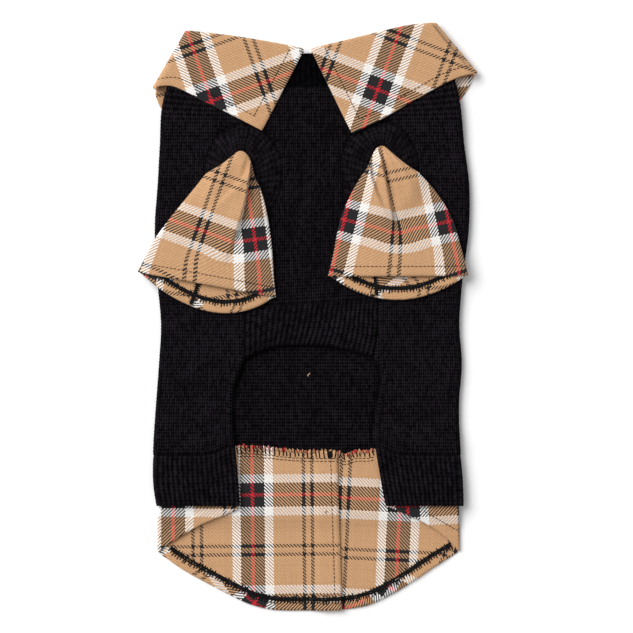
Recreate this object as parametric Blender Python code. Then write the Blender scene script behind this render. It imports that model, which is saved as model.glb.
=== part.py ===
"""Dog cardigan, size M, laid flat with its belly side up.

Sizes are in millimetres and are scaled to metres where a mesh is made. X runs across the
garment, Y from the tail to the neck, and Z up from the surface that it lies on. Left and
right are as seen from above. A panel is a grid of points on its outer face; the inner face
lies one wall thickness behind them, and ribs are raised on the outer face alone.
"""

from collections import namedtuple
from math import pi

import bpy
import numpy as np

MM = 0.001

# Walls and gaps
KNIT_WALL = 2.0
RIB_WALL = 2.2
RIB_RAISE = 0.6
RING_SEAM_RAISE = 0.4
WOVEN_WALL = 1.0
COLLAR_WALL = 1.2
SEAM_GAP = 0.3
LAYER_GAP = 0.4

# Heights of the neck seam, the belly band and the hem band along the garment
NECK_SEAM = 159.5
NECK_SEAM_RISE = 13.0
NECK_BEND_REACH = 26.0
NECK_HALF_WIDTH = 90.0
HEM_SEAM = -98.5
HEM_EDGE = -133.5
TAIL_TOP = -92.0

Side = namedtuple("Side", "y left right")
BODY_SIDES = (
    Side(-135, -105.5, 110.0),
    Side(-119, -107.8, 109.5),
    Side(-91, -107.5, 107.2),
    Side(-63, -105.7, 106.4),
    Side(-35, -103.6, 108.3),
    Side(-7, -102.2, 106.6),
    Side(21, -104.5, 108.5),
    Side(63, -106.5, 113.5),
    Side(91, -104.5, 113.5),
    Side(119, -103.0, 110.0),
    Side(147, -101.0, 107.0),
    Side(173, -92.0, 100.0),
)

# Outer face of the front layer, and the underside of the back layer
Height = namedtuple("Height", "y z")
FRONT_TOP = (
    Height(-136, 8.3),
    Height(-122, 8.0),
    Height(-110, 7.6),
    Height(-100, 7.5),
    Height(-89, 7.5),
    Height(-77, 5.6),
    Height(-40, 5.4),
    Height(20, 5.4),
    Height(70, 5.6),
    Height(118, 5.8),
    Height(136, 6.4),
    Height(175, 6.4),
)
BACK_LEAF_EDGE = 130.0
BACK_LIFT = 1.8
BACK_LIFT_RAMP = 12.0
SIDE_PUFF = 0.8
SIDE_PUFF_REACH = 13.0

# Soft creases of the front layer: ridges are positive, troughs negative
Crease = namedtuple("Crease", "x y angle length width height")
CREASES = (
    Crease(-84, -50, -6, 26, 6, -0.7),
    Crease(-78, -76, 8, 28, 7, 0.6),
    Crease(-90, 4, 20, 20, 7, -0.6),
    Crease(82, -30, 9, 26, 7, -0.6),
    Crease(88, -66, -8, 24, 7, 0.7),
    Crease(92, 20, -25, 24, 8, 0.6),
    Crease(96, 118, 70, 30, 9, -0.6),
    Crease(-88, 112, -65, 30, 9, -0.6),
    Crease(2, 60, 80, 40, 10, 0.5),
)

# Free edge of the side wraps, from the hem up to the belly band
Edge = namedtuple("Edge", "y left right")
CUTOUT_EDGE = (
    Edge(-134, -46.9, 55.2),
    Edge(-116, -48.3, 51.2),
    Edge(-91, -51.3, 46.9),
    Edge(-68, -52.1, 48.6),
    Edge(-51, -50.8, 51.3),
    Edge(-39, -47.0, 52.4),
    Edge(-30, -43.4, 46.5),
)
CUTOUT_TOP = -30.0

# Side seams, from the cut-out up to the armholes
SIDE_SEAMS = (
    Edge(-30, -43.4, 46.5),
    Edge(-15, -43.4, 49.2),
    Edge(0, -43.4, 49.7),
    Edge(70, -43.4, 49.7),
)

# Armholes: ribbed rings with an oval outer seam and an oval mouth. The fold angles are
# where the sleeve's side folds start on the mouth.
Armhole = namedtuple("Armhole", "x y mouth_x mouth_y fold_left fold_right")
ARMHOLE_LEFT = Armhole(-44.1, 99.4, -46.3, 94.5, 125, 15)
ARMHOLE_RIGHT = Armhole(51.1, 101.5, 52.3, 98.0, 155, 50)
RING_HALF_WIDTH = 27.3
RING_HALF_HEIGHT = 35.0
MOUTH_HALF_WIDTH = 9.5
MOUTH_HALF_HEIGHT = 20.5
RING_RISE = 1.8
RING_RIBS = 41
RING_SEAM_ROWS = 11

# Columns of the wall in each side fold and across the flat back
SIDE_COLUMNS = 3
BACK_COLUMNS = 7

# Shoulder seams, from the top of each ring to the neck seam
SHOULDER_LEFT_TOP = -31.5
SHOULDER_RIGHT_TOP = 31.5

# Belly band
Arch = namedtuple("Arch", "x y")
BELLY_ARCH = (
    Arch(-44, -30.8),
    Arch(-31, -24.5),
    Arch(-1, -21.0),
    Arch(24, -23.1),
    Arch(49, -29.5),
)
BELLY_TOP_LEFT = 4.9
BELLY_TOP_RIGHT = 10.5
BELLY_RIBS = 26
BELLY_LEAN = 5.0

HEM_RIBS = 16

# Neck band
NECK_RIBS = 46
NECK_BACK_COLUMNS = 15
NECK_GAP = 0.6
NECK_TOP_LEFT = -82.0
NECK_TOP_RIGHT = 88.0
NECK_FRONT_TOP = 6.4

# Collar: the roll line, the outer edge of the front leaves, and the back leaf's edge
Roll = namedtuple("Roll", "x y")
ROLL_LINE = (
    Roll(-86.1, 199.5),
    Roll(-55.3, 196.0),
    Roll(-13.3, 189.0),
    Roll(0.3, 186.4),
    Roll(12.6, 189.0),
    Roll(41.3, 196.0),
    Roll(71.4, 203.0),
    Roll(91.7, 205.1),
)
Leaf = namedtuple("Leaf", "along roll_x edge_x edge_y")
LEAF_LEFT = (
    Leaf(0.00, -86.1, -108.1, 159.6),
    Leaf(0.15, -75.0, -96.5, 160.8),
    Leaf(0.45, -50.0, -71.0, 149.3),
    Leaf(0.75, -23.0, -50.5, 139.3),
    Leaf(1.00, -2.8, -31.5, 129.5),
)
LEAF_RIGHT = (
    Leaf(0.00, 3.5, 31.5, 127.4),
    Leaf(0.25, 24.0, 50.0, 136.3),
    Leaf(0.55, 52.0, 75.0, 150.5),
    Leaf(0.85, 79.0, 105.0, 166.2),
    Leaf(1.00, 91.7, 119.3, 170.1),
)
LEAF_BACK = (
    Leaf(0.00, 91.7, 119.3, 170.1),
    Leaf(0.12, 78.0, 103.6, 147.0),
    Leaf(0.28, 55.0, 75.6, 135.1),
    Leaf(0.50, 0.3, 0.0, 135.5),
    Leaf(0.76, -50.0, -74.9, 132.0),
    Leaf(0.88, -72.0, -99.4, 142.1),
    Leaf(1.00, -86.1, -108.1, 159.6),
)
ROLL_RADIUS = 1.9
STAND = 1.2
STAND_INSET = 3.0
LEAF_TOP = 8.6
LEAF_TOP_RAMP = 12.0
COLLAR_FOLD = 4.3

# Bell sleeves: outline and middle of each layer, from the armhole's mouth to the cuff
Section = namedtuple(
    "Section", "left_x left_y right_x right_y front_x front_y back_x back_y hollow")
SLEEVE_LEFT = (
    Section(-70.7, 98.7, -33.2, 90.3, -47.6, 105.0, -46.9, 62.3, 1.8),
    Section(-82.6, 84.0, -29.7, 79.1, -51.8, 91.0, -49.7, 53.9, 2.4),
    Section(-94.5, 69.3, -26.9, 65.1, -56.0, 75.6, -53.2, 43.4, 2.4),
    Section(-105.0, 55.3, -24.8, 50.4, -60.2, 60.2, -56.7, 32.9, 2.6),
    Section(-111.6, 43.4, -23.8, 37.1, -63.7, 46.9, -60.2, 23.1, 2.8),
    Section(-115.5, 35.7, -23.1, 25.2, -67.2, 33.6, -63.7, 11.9, 3.0),
    Section(-118.3, 30.4, -21.7, 12.6, -70.0, 21.7, -67.2, 2.8, 3.2),
)
SLEEVE_RIGHT = (
    Section(37.1, 95.9, 78.4, 99.4, 54.6, 108.5, 53.9, 65.1, 1.8),
    Section(30.8, 84.7, 88.9, 87.8, 57.4, 94.5, 56.7, 55.3, 2.4),
    Section(25.2, 72.1, 96.9, 76.3, 59.5, 79.1, 58.8, 44.8, 2.4),
    Section(21.3, 58.1, 102.9, 63.7, 61.2, 64.4, 60.2, 34.3, 2.6),
    Section(18.9, 45.5, 107.1, 49.7, 62.3, 50.4, 61.2, 24.5, 2.8),
    Section(16.8, 35.7, 110.2, 37.8, 63.0, 38.5, 61.9, 17.5, 3.0),
    Section(14.7, 27.6, 112.7, 28.0, 63.7, 27.6, 63.0, 11.2, 3.2),
)
SLEEVE_FOLD = 1.5
CUFF_HEM_WALL = 1.8
SLEEVE_LIFT = 1.6
HEAD_LIFT = 0.4
MOUTH_FOLD_TURN = 12.0
SLEEVE_FRONT_COLUMNS = 15
SLEEVE_BACK_COLUMNS = 9
SLEEVE_FOLD_COLUMNS = 2
SLEEVE_ROWS = (-1, -0.5, 0, 0.6, 1.3, 2.1, 3.1, 4.2, 5.25)
CUFF_ROWS = (5.3, 6)

# Pleats of the sleeves: place across the front, 0 left to 1 right, at the top and where
# they run out, and the depth of the trough
Pleat = namedtuple("Pleat", "top_at end_at end_row width depth")
PLEATS_LEFT = (Pleat(0.76, 0.69, 3.4, 0.07, 1.7),)
PLEATS_RIGHT = (
    Pleat(0.44, 0.50, 4.0, 0.08, 1.6),
    Pleat(0.22, 0.40, 1.6, 0.07, 0.9),
)

# Shirt tail: side folds, hem, and the lapped placket
TAIL_SIDES = (
    Side(-165, -104.9, 106.8),
    Side(-148, -104.9, 106.8),
    Side(-139, -104.4, 106.6),
    Side(-131, -102.7, 106.2),
    Side(-116, -104.2, 105.9),
    Side(-91, -104.0, 104.0),
)
TAIL_FLAP_LEFT = -48.9
TAIL_FLAP_RIGHT = 49.2
TAIL_DROP_START = -137.5
TAIL_DROP_END = -152.0
TAIL_UNDER_BAND = 2.6
TAIL_FOLD = 1.5
TAIL_HEM_BAND = 10.0
TAIL_HEM_WALL = 2.0
FLAP_HEM_WALL = 1.6
PLACKET_EDGE = 21.0
PLACKET_UNDER = 10.0
PLACKET_RAMP = 9.0
TAIL_ROWS = 13
TAIL_COLUMNS = 11
FLAP_COLUMNS = 6
Hem = namedtuple("Hem", "x y")
TAIL_HEM = (
    Hem(-104.8, -164.0),
    Hem(-85, -182.0),
    Hem(-58, -196.0),
    Hem(-38, -202.8),
    Hem(2, -206.5),
    Hem(41, -202.8),
    Hem(58, -196.0),
    Hem(79, -183.5),
    Hem(99, -170.5),
    Hem(106.6, -163.0),
)
FLAP_HEM_LEFT = (
    Hem(-104.8, -164.0),
    Hem(-79, -148.4),
    Hem(-49, -136.0),
)
FLAP_HEM_RIGHT = (
    Hem(49, -134.8),
    Hem(70, -137.0),
    Hem(86, -143.5),
    Hem(106.6, -163.0),
)


# ---------------------------------------------------------------- tables and surfaces

def read(table, at, column):
    """Value of a table's column at a place along its first column, on a smooth curve."""
    keys = np.array([row[0] for row in table], float)
    values = np.array([getattr(row, column) for row in table], float)
    slopes = np.gradient(values, keys)
    at = np.clip(np.asarray(at, float), keys[0], keys[-1])
    low = np.clip(np.searchsorted(keys, at, side="right") - 1, 0, len(keys) - 2)
    span = keys[low + 1] - keys[low]
    t = (at - keys[low]) / span
    rest = 1 - t
    return (values[low] * (1 + 2 * t) * rest ** 2 + values[low + 1] * t ** 2 * (3 - 2 * t)
            + span * (slopes[low] * t * rest ** 2 - slopes[low + 1] * t ** 2 * rest))


def ease(value, start, end):
    """Smooth step from 0 at start to 1 at end."""
    t = np.clip((np.asarray(value, float) - start) / (end - start), 0, 1)
    return t * t * (3 - 2 * t)


def creases(x, y):
    """Height that the soft creases add to the front layer."""
    total = 0.0
    for crease in CREASES:
        turn = np.radians(crease.angle)
        along = (x - crease.x) * np.cos(turn) + (y - crease.y) * np.sin(turn)
        across = (y - crease.y) * np.cos(turn) - (x - crease.x) * np.sin(turn)
        fade = np.exp(-(along / crease.length) ** 2 - (across / crease.width) ** 2)
        total = total + crease.height * fade
    return total


def body_top(x, y):
    """Outer face of the front layer."""
    from_left = x - read(BODY_SIDES, y, "left")
    from_right = read(BODY_SIDES, y, "right") - x
    puff = np.exp(-(from_left / SIDE_PUFF_REACH) ** 2)
    puff = puff + np.exp(-(from_right / SIDE_PUFF_REACH) ** 2)
    return read(FRONT_TOP, y, "z") + SIDE_PUFF * np.minimum(puff, 1) + creases(x, y)


def body_underside(y):
    """Outer face of the back layer: on the floor, and lifted over the collar's back leaf."""
    return BACK_LIFT * ease(y, BACK_LEAF_EDGE - BACK_LIFT_RAMP, BACK_LEAF_EDGE)


def ring_reach(armhole, x, y):
    """1 on the ring's outer seam, falling towards its middle."""
    return np.hypot((x - armhole.x) / RING_HALF_WIDTH, (y - armhole.y) / RING_HALF_HEIGHT)


def ring_rise(armhole, x, y):
    """Height of the armhole ring over the front layer."""
    return RING_RISE * ease(ring_reach(armhole, x, y), 1.0, 0.55)


def neck_seam_lift(x):
    """How far the neck seam rises from the middle towards the sides."""
    return NECK_SEAM_RISE * (np.abs(x) / NECK_HALF_WIDTH) ** 2


def covered(x, y):
    """Height that a sleeve or a leaf clears: the front layer, the rings and their ribs."""
    ring_left = ease(ring_reach(ARMHOLE_LEFT, x, y), 1.3, 0.85)
    ring_right = ease(ring_reach(ARMHOLE_RIGHT, x, y), 1.3, 0.85)
    return body_top(x, y) + (RING_RISE + RIB_RAISE) * np.maximum(ring_left, ring_right)


# ---------------------------------------------------------------- meshes

def material(name, colour, roughness):
    cloth = bpy.data.materials.new(name)
    cloth.use_nodes = True
    shader = cloth.node_tree.nodes["Principled BSDF"]
    shader.inputs["Base Color"].default_value = (*colour, 1)
    shader.inputs["Roughness"].default_value = roughness
    shader.inputs["Metallic"].default_value = 0
    return cloth


def unit(vectors):
    return vectors / np.linalg.norm(vectors, axis=-1, keepdims=True)


def grid_normals(points, closed):
    """Outward normals of a grid of points, rows by columns."""
    if closed:
        along = np.roll(points, -1, axis=1) - np.roll(points, 1, axis=1)
    else:
        along = np.gradient(points, axis=1)
    return unit(np.cross(np.gradient(points, axis=0), along))


def add_wall(name, cloth, points, thickness, raised=None, closed=False):
    """Solid cloth from a grid on its outer face.

    points is rows by columns by 3, thickness a number or a grid, raised the height of the
    ribs over the outer face, and closed joins the last column to the first, as on a tube.
    """
    normals = grid_normals(points, closed)
    depth = np.broadcast_to(thickness, points.shape[:2])[..., None]
    outer = points if raised is None else points + normals * raised[..., None]
    return add_shell(name, cloth, outer, points - normals * depth, closed)


def add_shell(name, cloth, outer, inner, closed=False):
    """Solid between two grids of points, joined round their edges."""
    rows, columns = outer.shape[:2]
    vertices = np.concatenate([outer.reshape(-1, 3), inner.reshape(-1, 3)]) * MM

    def outside(row, column):
        return row * columns + column % columns

    def inside(row, column):
        return rows * columns + outside(row, column)

    last = columns if closed else columns - 1
    faces = []
    for row in range(rows - 1):
        for column in range(last):
            a, b = outside(row, column), outside(row + 1, column)
            c, d = outside(row + 1, column + 1), outside(row, column + 1)
            faces.append((a, b, c, d))
            a, b = inside(row, column), inside(row, column + 1)
            c, d = inside(row + 1, column + 1), inside(row + 1, column)
            faces.append((a, b, c, d))
    for column in range(last):
        following = column + 1
        faces.append((outside(0, column), outside(0, following),
                      inside(0, following), inside(0, column)))
        faces.append((outside(rows - 1, following), outside(rows - 1, column),
                      inside(rows - 1, column), inside(rows - 1, following)))
    if not closed:
        for row in range(rows - 1):
            faces.append((outside(row + 1, 0), outside(row, 0),
                          inside(row, 0), inside(row + 1, 0)))
            faces.append((outside(row, last), outside(row + 1, last),
                          inside(row + 1, last), inside(row, last)))

    mesh = bpy.data.meshes.new(name)
    mesh.from_pydata(vertices.tolist(), [], faces)
    mesh.materials.append(cloth)
    mesh.validate()
    garment_piece = bpy.data.objects.new(name, mesh)
    bpy.context.collection.objects.link(garment_piece)
    mesh.shade_smooth()
    mesh.set_sharp_from_angle(angle=np.radians(50))
    return garment_piece


def fold_arc(x, outward, bottom, top, count):
    """Points of a side fold in a section: x of its outermost line, bottom and top heights.

    The arc runs from the top to the bottom, and its ends are left out.
    """
    radius = (top - bottom) / 2
    angles = np.linspace(pi / 2, -pi / 2, count + 2)[1:-1]
    across = x - outward * radius + outward * radius * np.cos(angles)
    return across, (top + bottom) / 2 + radius * np.sin(angles)


# ---------------------------------------------------------------- knitted pieces

def neck_bend(row_y):
    """Share of the neck seam's rise that a row of the body follows."""
    return ease(row_y, NECK_SEAM - NECK_BEND_REACH, NECK_SEAM)


def wrap_section(y_left, y_right, edge_left, edge_right, counts):
    """One row of the body from the left wrap's edge, under the back, to the right one's."""
    wrap, fold, back = counts
    lift = NECK_SEAM_RISE * float(neck_bend((y_left + y_right) / 2))
    left = float(read(BODY_SIDES, y_left + lift, "left"))
    right = float(read(BODY_SIDES, y_right + lift, "right"))
    low_left, low_right = float(body_underside(y_left)), float(body_underside(y_right))
    radius_left = (float(body_top(left + 4, y_left)) - low_left) / 2
    radius_right = (float(body_top(right - 4, y_right)) - low_right) / 2

    x_top_left = np.linspace(edge_left, left + radius_left, wrap)
    z_top_left = body_top(x_top_left, y_left)
    x_fold_left, z_fold_left = fold_arc(left, -1, low_left, float(z_top_left[-1]), fold)
    x_back = np.linspace(left + radius_left, right - radius_right, back)
    z_back = np.linspace(low_left, low_right, back)
    x_top_right = np.linspace(right - radius_right, edge_right, wrap)
    z_top_right = body_top(x_top_right, y_right)
    x_fold_right, z_fold_right = fold_arc(right, 1, low_right, float(z_top_right[0]), fold)

    x = np.concatenate([x_top_left, x_fold_left, x_back, x_fold_right[::-1], x_top_right])
    z = np.concatenate([z_top_left, z_fold_left, z_back, z_fold_right[::-1], z_top_right])
    return x, np.linspace(y_left, y_right, len(x)), z


def lift_neck_row(x, y):
    """Bend a row near the top of the body up towards the sides, like the neck seam."""
    return y + neck_seam_lift(x) * neck_bend(y.mean())


def ring_outline(armhole, angle, outward):
    """A point of the body on a ring's outer seam, whose straight sides clear the oval."""
    clear = 1 / np.cos(pi / (RING_SEAM_ROWS - 1) / 2)
    reach_x = RING_HALF_WIDTH * clear + SEAM_GAP
    reach_y = RING_HALF_HEIGHT * clear + SEAM_GAP
    return (armhole.x + outward * reach_x * np.cos(angle), armhole.y + reach_y * np.sin(angle))


BodyRow = namedtuple("BodyRow", "y_left y_right left right")


def seam_row(y_left, y_right, gap):
    left = float(read(SIDE_SEAMS, y_left, "left")) - gap
    right = float(read(SIDE_SEAMS, y_right, "right")) + gap
    return BodyRow(y_left, y_right, left, right)


def body_rows(outward):
    """Ends of the body's rows on each side, from the belly band up to the neck.

    outward is 1 for the back panel, which lies outside the rings and the side seams, and
    -1 for the chest panel, which lies between them.
    """
    gap = outward * SEAM_GAP / 2
    rows = []
    ring_low_left = ring_outline(ARMHOLE_LEFT, -pi / 2, outward)[1]
    ring_low_right = ring_outline(ARMHOLE_RIGHT, -pi / 2, outward)[1]
    for part in (0.0, 0.25, 0.5, 0.75):
        y_left = BELLY_TOP_LEFT + SEAM_GAP + part * (ring_low_left - BELLY_TOP_LEFT)
        y_right = BELLY_TOP_RIGHT + SEAM_GAP + part * (ring_low_right - BELLY_TOP_RIGHT)
        rows.append(seam_row(y_left, y_right, gap))
    for angle in np.linspace(-pi / 2, pi / 2, RING_SEAM_ROWS):
        x_left, y_left = ring_outline(ARMHOLE_LEFT, angle, -outward)
        x_right, y_right = ring_outline(ARMHOLE_RIGHT, angle, outward)
        rows.append(BodyRow(y_left, y_right, x_left - gap, x_right + gap))
    top = rows[-1]
    for part in (0.5, 1.0):
        y_left = top.y_left + part * (NECK_SEAM - top.y_left)
        y_right = top.y_right + part * (NECK_SEAM - top.y_right)
        x_left = ARMHOLE_LEFT.x + part * (SHOULDER_LEFT_TOP - ARMHOLE_LEFT.x) - gap
        x_right = ARMHOLE_RIGHT.x + part * (SHOULDER_RIGHT_TOP - ARMHOLE_RIGHT.x) + gap
        rows.append(BodyRow(y_left, y_right, x_left, x_right))
    return rows


def cutout_row(y):
    left = float(read(CUTOUT_EDGE, y, "left"))
    right = float(read(CUTOUT_EDGE, y, "right"))
    return BodyRow(y, y, left, right)


def add_back_panel(knit):
    rows = [cutout_row(y) for y in np.linspace(HEM_SEAM + SEAM_GAP, CUTOUT_TOP, 8)]
    rows += [seam_row(y, y, SEAM_GAP / 2) for y in (-22, -12, -3)]
    rows += body_rows(1)
    points = []
    for row in rows:
        x, y, z = wrap_section(*row, (7, SIDE_COLUMNS, BACK_COLUMNS))
        points.append(np.stack([x, lift_neck_row(x, y), z], axis=1))
    add_wall("back_panel", knit, np.array(points), KNIT_WALL)


def add_chest_panel(knit):
    points = []
    for row in body_rows(-1):
        x = np.linspace(row.right, row.left, 9)
        y = np.linspace(row.y_right, row.y_left, 9)
        points.append(np.stack([x, lift_neck_row(x, y), body_top(x, y)], axis=1))
    add_wall("chest_panel", knit, np.array(points), KNIT_WALL)


def rib_relief(columns):
    """A rib for every second column, and plain edges."""
    relief = np.where(np.arange(columns) % 2 == 1, RIB_RAISE, 0.0)
    relief[-1] = 0
    return relief


def add_belly_rib(rib):
    columns = 2 * BELLY_RIBS + 1
    across = np.linspace(1, 0, columns)
    points = []
    for part in (0.0, 0.4, 0.7, 1.0):
        side_y = BELLY_ARCH[0].y + part * (BELLY_TOP_RIGHT - BELLY_ARCH[0].y)
        seams = seam_row(side_y, side_y, -SEAM_GAP / 2)
        x = seams.left + (seams.right - seams.left) * across
        x = x + BELLY_LEAN * part * np.sin(pi * across)
        low = read(BELLY_ARCH, x, "y")
        high = BELLY_TOP_LEFT + (BELLY_TOP_RIGHT - BELLY_TOP_LEFT) * across
        y = low + (high - low) * part
        points.append(np.stack([x, y, body_top(x, y)], axis=1))
    raised = np.tile(rib_relief(columns), (4, 1))
    add_wall("belly_rib", rib, np.array(points), RIB_WALL, raised)


def add_hem_rib(rib):
    wrap = 2 * HEM_RIBS + 1
    points = []
    for y in np.linspace(HEM_EDGE, HEM_SEAM, 3):
        section = wrap_section(*cutout_row(y), (wrap, SIDE_COLUMNS, BACK_COLUMNS))
        points.append(np.stack(section, axis=1))
    relief = rib_relief(wrap)
    flat = np.zeros(2 * SIDE_COLUMNS + BACK_COLUMNS)
    raised = np.tile(np.concatenate([relief, flat, relief[::-1]]), (3, 1))
    add_wall("hem_rib", rib, np.array(points), RIB_WALL, raised)


def add_neck_rib(rib):
    front_columns = 2 * NECK_RIBS + 1
    middle = (NECK_FRONT_TOP + BACK_LIFT) / 2
    radius = (NECK_FRONT_TOP - BACK_LIFT) / 2
    seam_left = float(read(BODY_SIDES, NECK_SEAM + NECK_SEAM_RISE, "left"))
    seam_right = float(read(BODY_SIDES, NECK_SEAM + NECK_SEAM_RISE, "right"))
    points = []
    for part in (0.0, 1.0):
        left = seam_left + part * (NECK_TOP_LEFT - seam_left)
        right = seam_right + part * (NECK_TOP_RIGHT - seam_right)
        x_front = np.linspace(right - radius, left + radius, front_columns)
        x_left, z_left = fold_arc(left, -1, BACK_LIFT, NECK_FRONT_TOP, SIDE_COLUMNS)
        x_back = np.linspace(left + radius, right - radius, NECK_BACK_COLUMNS)
        x_right, z_right = fold_arc(right, 1, BACK_LIFT, NECK_FRONT_TOP, SIDE_COLUMNS)
        x = np.concatenate([x_front, x_left, x_back, x_right[::-1]])
        z = np.concatenate([np.full(front_columns, middle + radius), z_left,
                            np.full(NECK_BACK_COLUMNS, middle - radius), z_right[::-1]])
        seam = NECK_SEAM + NECK_GAP + neck_seam_lift(x)
        top = read(ROLL_LINE, x, "y") - ROLL_RADIUS - STAND - NECK_GAP
        points.append(np.stack([x, seam + part * (top - seam), z], axis=1))
    plain = np.zeros(2 * SIDE_COLUMNS + NECK_BACK_COLUMNS)
    raised = np.tile(np.concatenate([rib_relief(front_columns), plain]), (2, 1))
    add_wall("neck_rib", rib, np.array(points), KNIT_WALL, raised, closed=True)


def add_armhole_rib(name, rib, armhole):
    columns = 2 * RING_RIBS
    angle = np.linspace(0, 2 * pi, columns, endpoint=False)
    points = []
    for part in (0.0, 0.5, 1.0):
        x_mouth = armhole.mouth_x + MOUTH_HALF_WIDTH * np.cos(angle)
        y_mouth = armhole.mouth_y + MOUTH_HALF_HEIGHT * np.sin(angle)
        x_seam = armhole.x + RING_HALF_WIDTH * np.cos(angle)
        y_seam = armhole.y + RING_HALF_HEIGHT * np.sin(angle)
        x = x_mouth + part * (x_seam - x_mouth)
        y = y_mouth + part * (y_seam - y_mouth)
        z = body_top(x, y) + ring_rise(armhole, x, y)
        points.append(np.stack([x, y, z], axis=1))
    relief = np.where(np.arange(columns) % 2 == 1, RIB_RAISE, 0.0)
    raised = np.outer((1.0, 1.0, RING_SEAM_RAISE), relief)
    add_wall(name, rib, np.array(points), RIB_WALL, raised, closed=True)


# ---------------------------------------------------------------- woven pieces

def leaf_top(x, y):
    """Outer face of a collar leaf that lies on the front."""
    over_body = covered(x, y) + LAYER_GAP + COLLAR_WALL
    over_neck = ease(y, NECK_SEAM - LEAF_TOP_RAMP, NECK_SEAM)
    return over_body + (LEAF_TOP - over_body) * over_neck


def roll_points(stand, leaf, rows):
    """Points up the short stand and over the roll, to where the leaf starts."""
    turn = np.linspace(0, pi, rows)[:, None]
    middle = (stand + leaf) / 2
    bulge = np.array([0, ROLL_RADIUS, 0])
    over = middle + (stand - middle) * np.cos(turn) + bulge * np.sin(turn)
    return np.concatenate([[stand - np.array([0, STAND, 0])], over])


def leaf_points(start, edge, rows, front):
    """Points down a leaf, after its roll."""
    part = np.linspace(0, 1, rows + 1)[1:, None]
    points = start + (edge - start) * part
    if front:
        points[:, 2] = leaf_top(points[:, 0], points[:, 1])
    return points


def collar_columns():
    """Stand, leaf start, leaf edge and whether it lies on the front, for each column, from
    the right leaf's front edge round the back to the left leaf's front edge."""
    stand_front, stand_back = LEAF_TOP - 2 * ROLL_RADIUS, 2 * ROLL_RADIUS - LAYER_GAP
    stand_left, stand_right = NECK_TOP_LEFT + STAND_INSET, NECK_TOP_RIGHT - STAND_INSET

    def roll_start(x):
        return float(read(ROLL_LINE, x, "y")) - ROLL_RADIUS

    def flat_column(table, along, stand_z, leaf_z, front):
        x = float(read(table, along, "roll_x"))
        stand_x = float(np.clip(x, stand_left, stand_right))
        stand = np.array([stand_x, roll_start(stand_x), stand_z])
        start = np.array([x, roll_start(x), leaf_z])
        edge = np.array([float(read(table, along, "edge_x")),
                         float(read(table, along, "edge_y")), 0])
        return stand, start, edge, front

    def fold_column(corner, stand_x, outward, angle):
        """Column of a side fold; corner is the row of a leaf's table at that fold."""
        outer = np.array([corner.roll_x, roll_start(corner.roll_x), 0])
        lower = np.array([corner.edge_x, corner.edge_y, 0])
        way = unit(lower - outer)
        out = np.array([outward * abs(way[1]), abs(way[0]), 0])
        reach = COLLAR_FOLD * (np.cos(angle) - 1)
        height = np.array([0, 0, COLLAR_FOLD * (1 + np.sin(angle))])
        radius = (stand_front - stand_back) / 2
        stand = np.array([stand_x + outward * radius * np.cos(angle), roll_start(stand_x),
                          stand_back + radius * (1 + np.sin(angle))])
        return stand, outer + out * reach + height, lower + out * reach + height, False

    fold_angles = np.radians((60, 30, 0, -30, -60))
    columns = [flat_column(LEAF_RIGHT, along, stand_front, LEAF_TOP, True)
               for along in np.linspace(0, 0.94, 9)]
    columns += [fold_column(LEAF_RIGHT[-1], stand_right, 1, angle) for angle in fold_angles]
    columns += [flat_column(LEAF_BACK, along, stand_back, 0, False)
                for along in np.linspace(0.05, 0.95, 13)]
    columns += [fold_column(LEAF_LEFT[0], stand_left, -1, angle)
                for angle in fold_angles[::-1]]
    columns += [flat_column(LEAF_LEFT, along, stand_front, LEAF_TOP, True)
                for along in np.linspace(0.06, 1, 9)]
    return columns


def add_collar(twill):
    points = []
    for stand, start, edge, front in collar_columns():
        points.append(np.concatenate([roll_points(stand, start, 5),
                                      leaf_points(start, edge, 5, front)]))
    add_wall("collar", twill, np.array(points).transpose(1, 0, 2), COLLAR_WALL)


def sleeve_rest(x, y):
    """Outer face of a sleeve's under layer."""
    return covered(x, y) + SLEEVE_LIFT


def through(first, middle, last, part):
    """Curve through three points."""
    control = 2 * middle - (first + last) / 2
    rest = 1 - part
    return first * rest ** 2 + 2 * control * part * rest + last * part ** 2


def fold_around(edge, inward, inset, heights):
    """Side fold of a sleeve's section, from the first height to the last one."""
    radius = abs(heights[0] - heights[1]) / 2
    turn = np.linspace(pi / 2, -pi / 2, SLEEVE_FOLD_COLUMNS + 2)[1:-1]
    turn = turn if heights[0] > heights[1] else turn[::-1]
    reach = SLEEVE_FOLD - (SLEEVE_FOLD - inset) * np.cos(turn)
    plan = edge + inward * reach[:, None]
    return np.column_stack([plan, sum(heights) / 2 + radius * np.sin(turn)])


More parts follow.
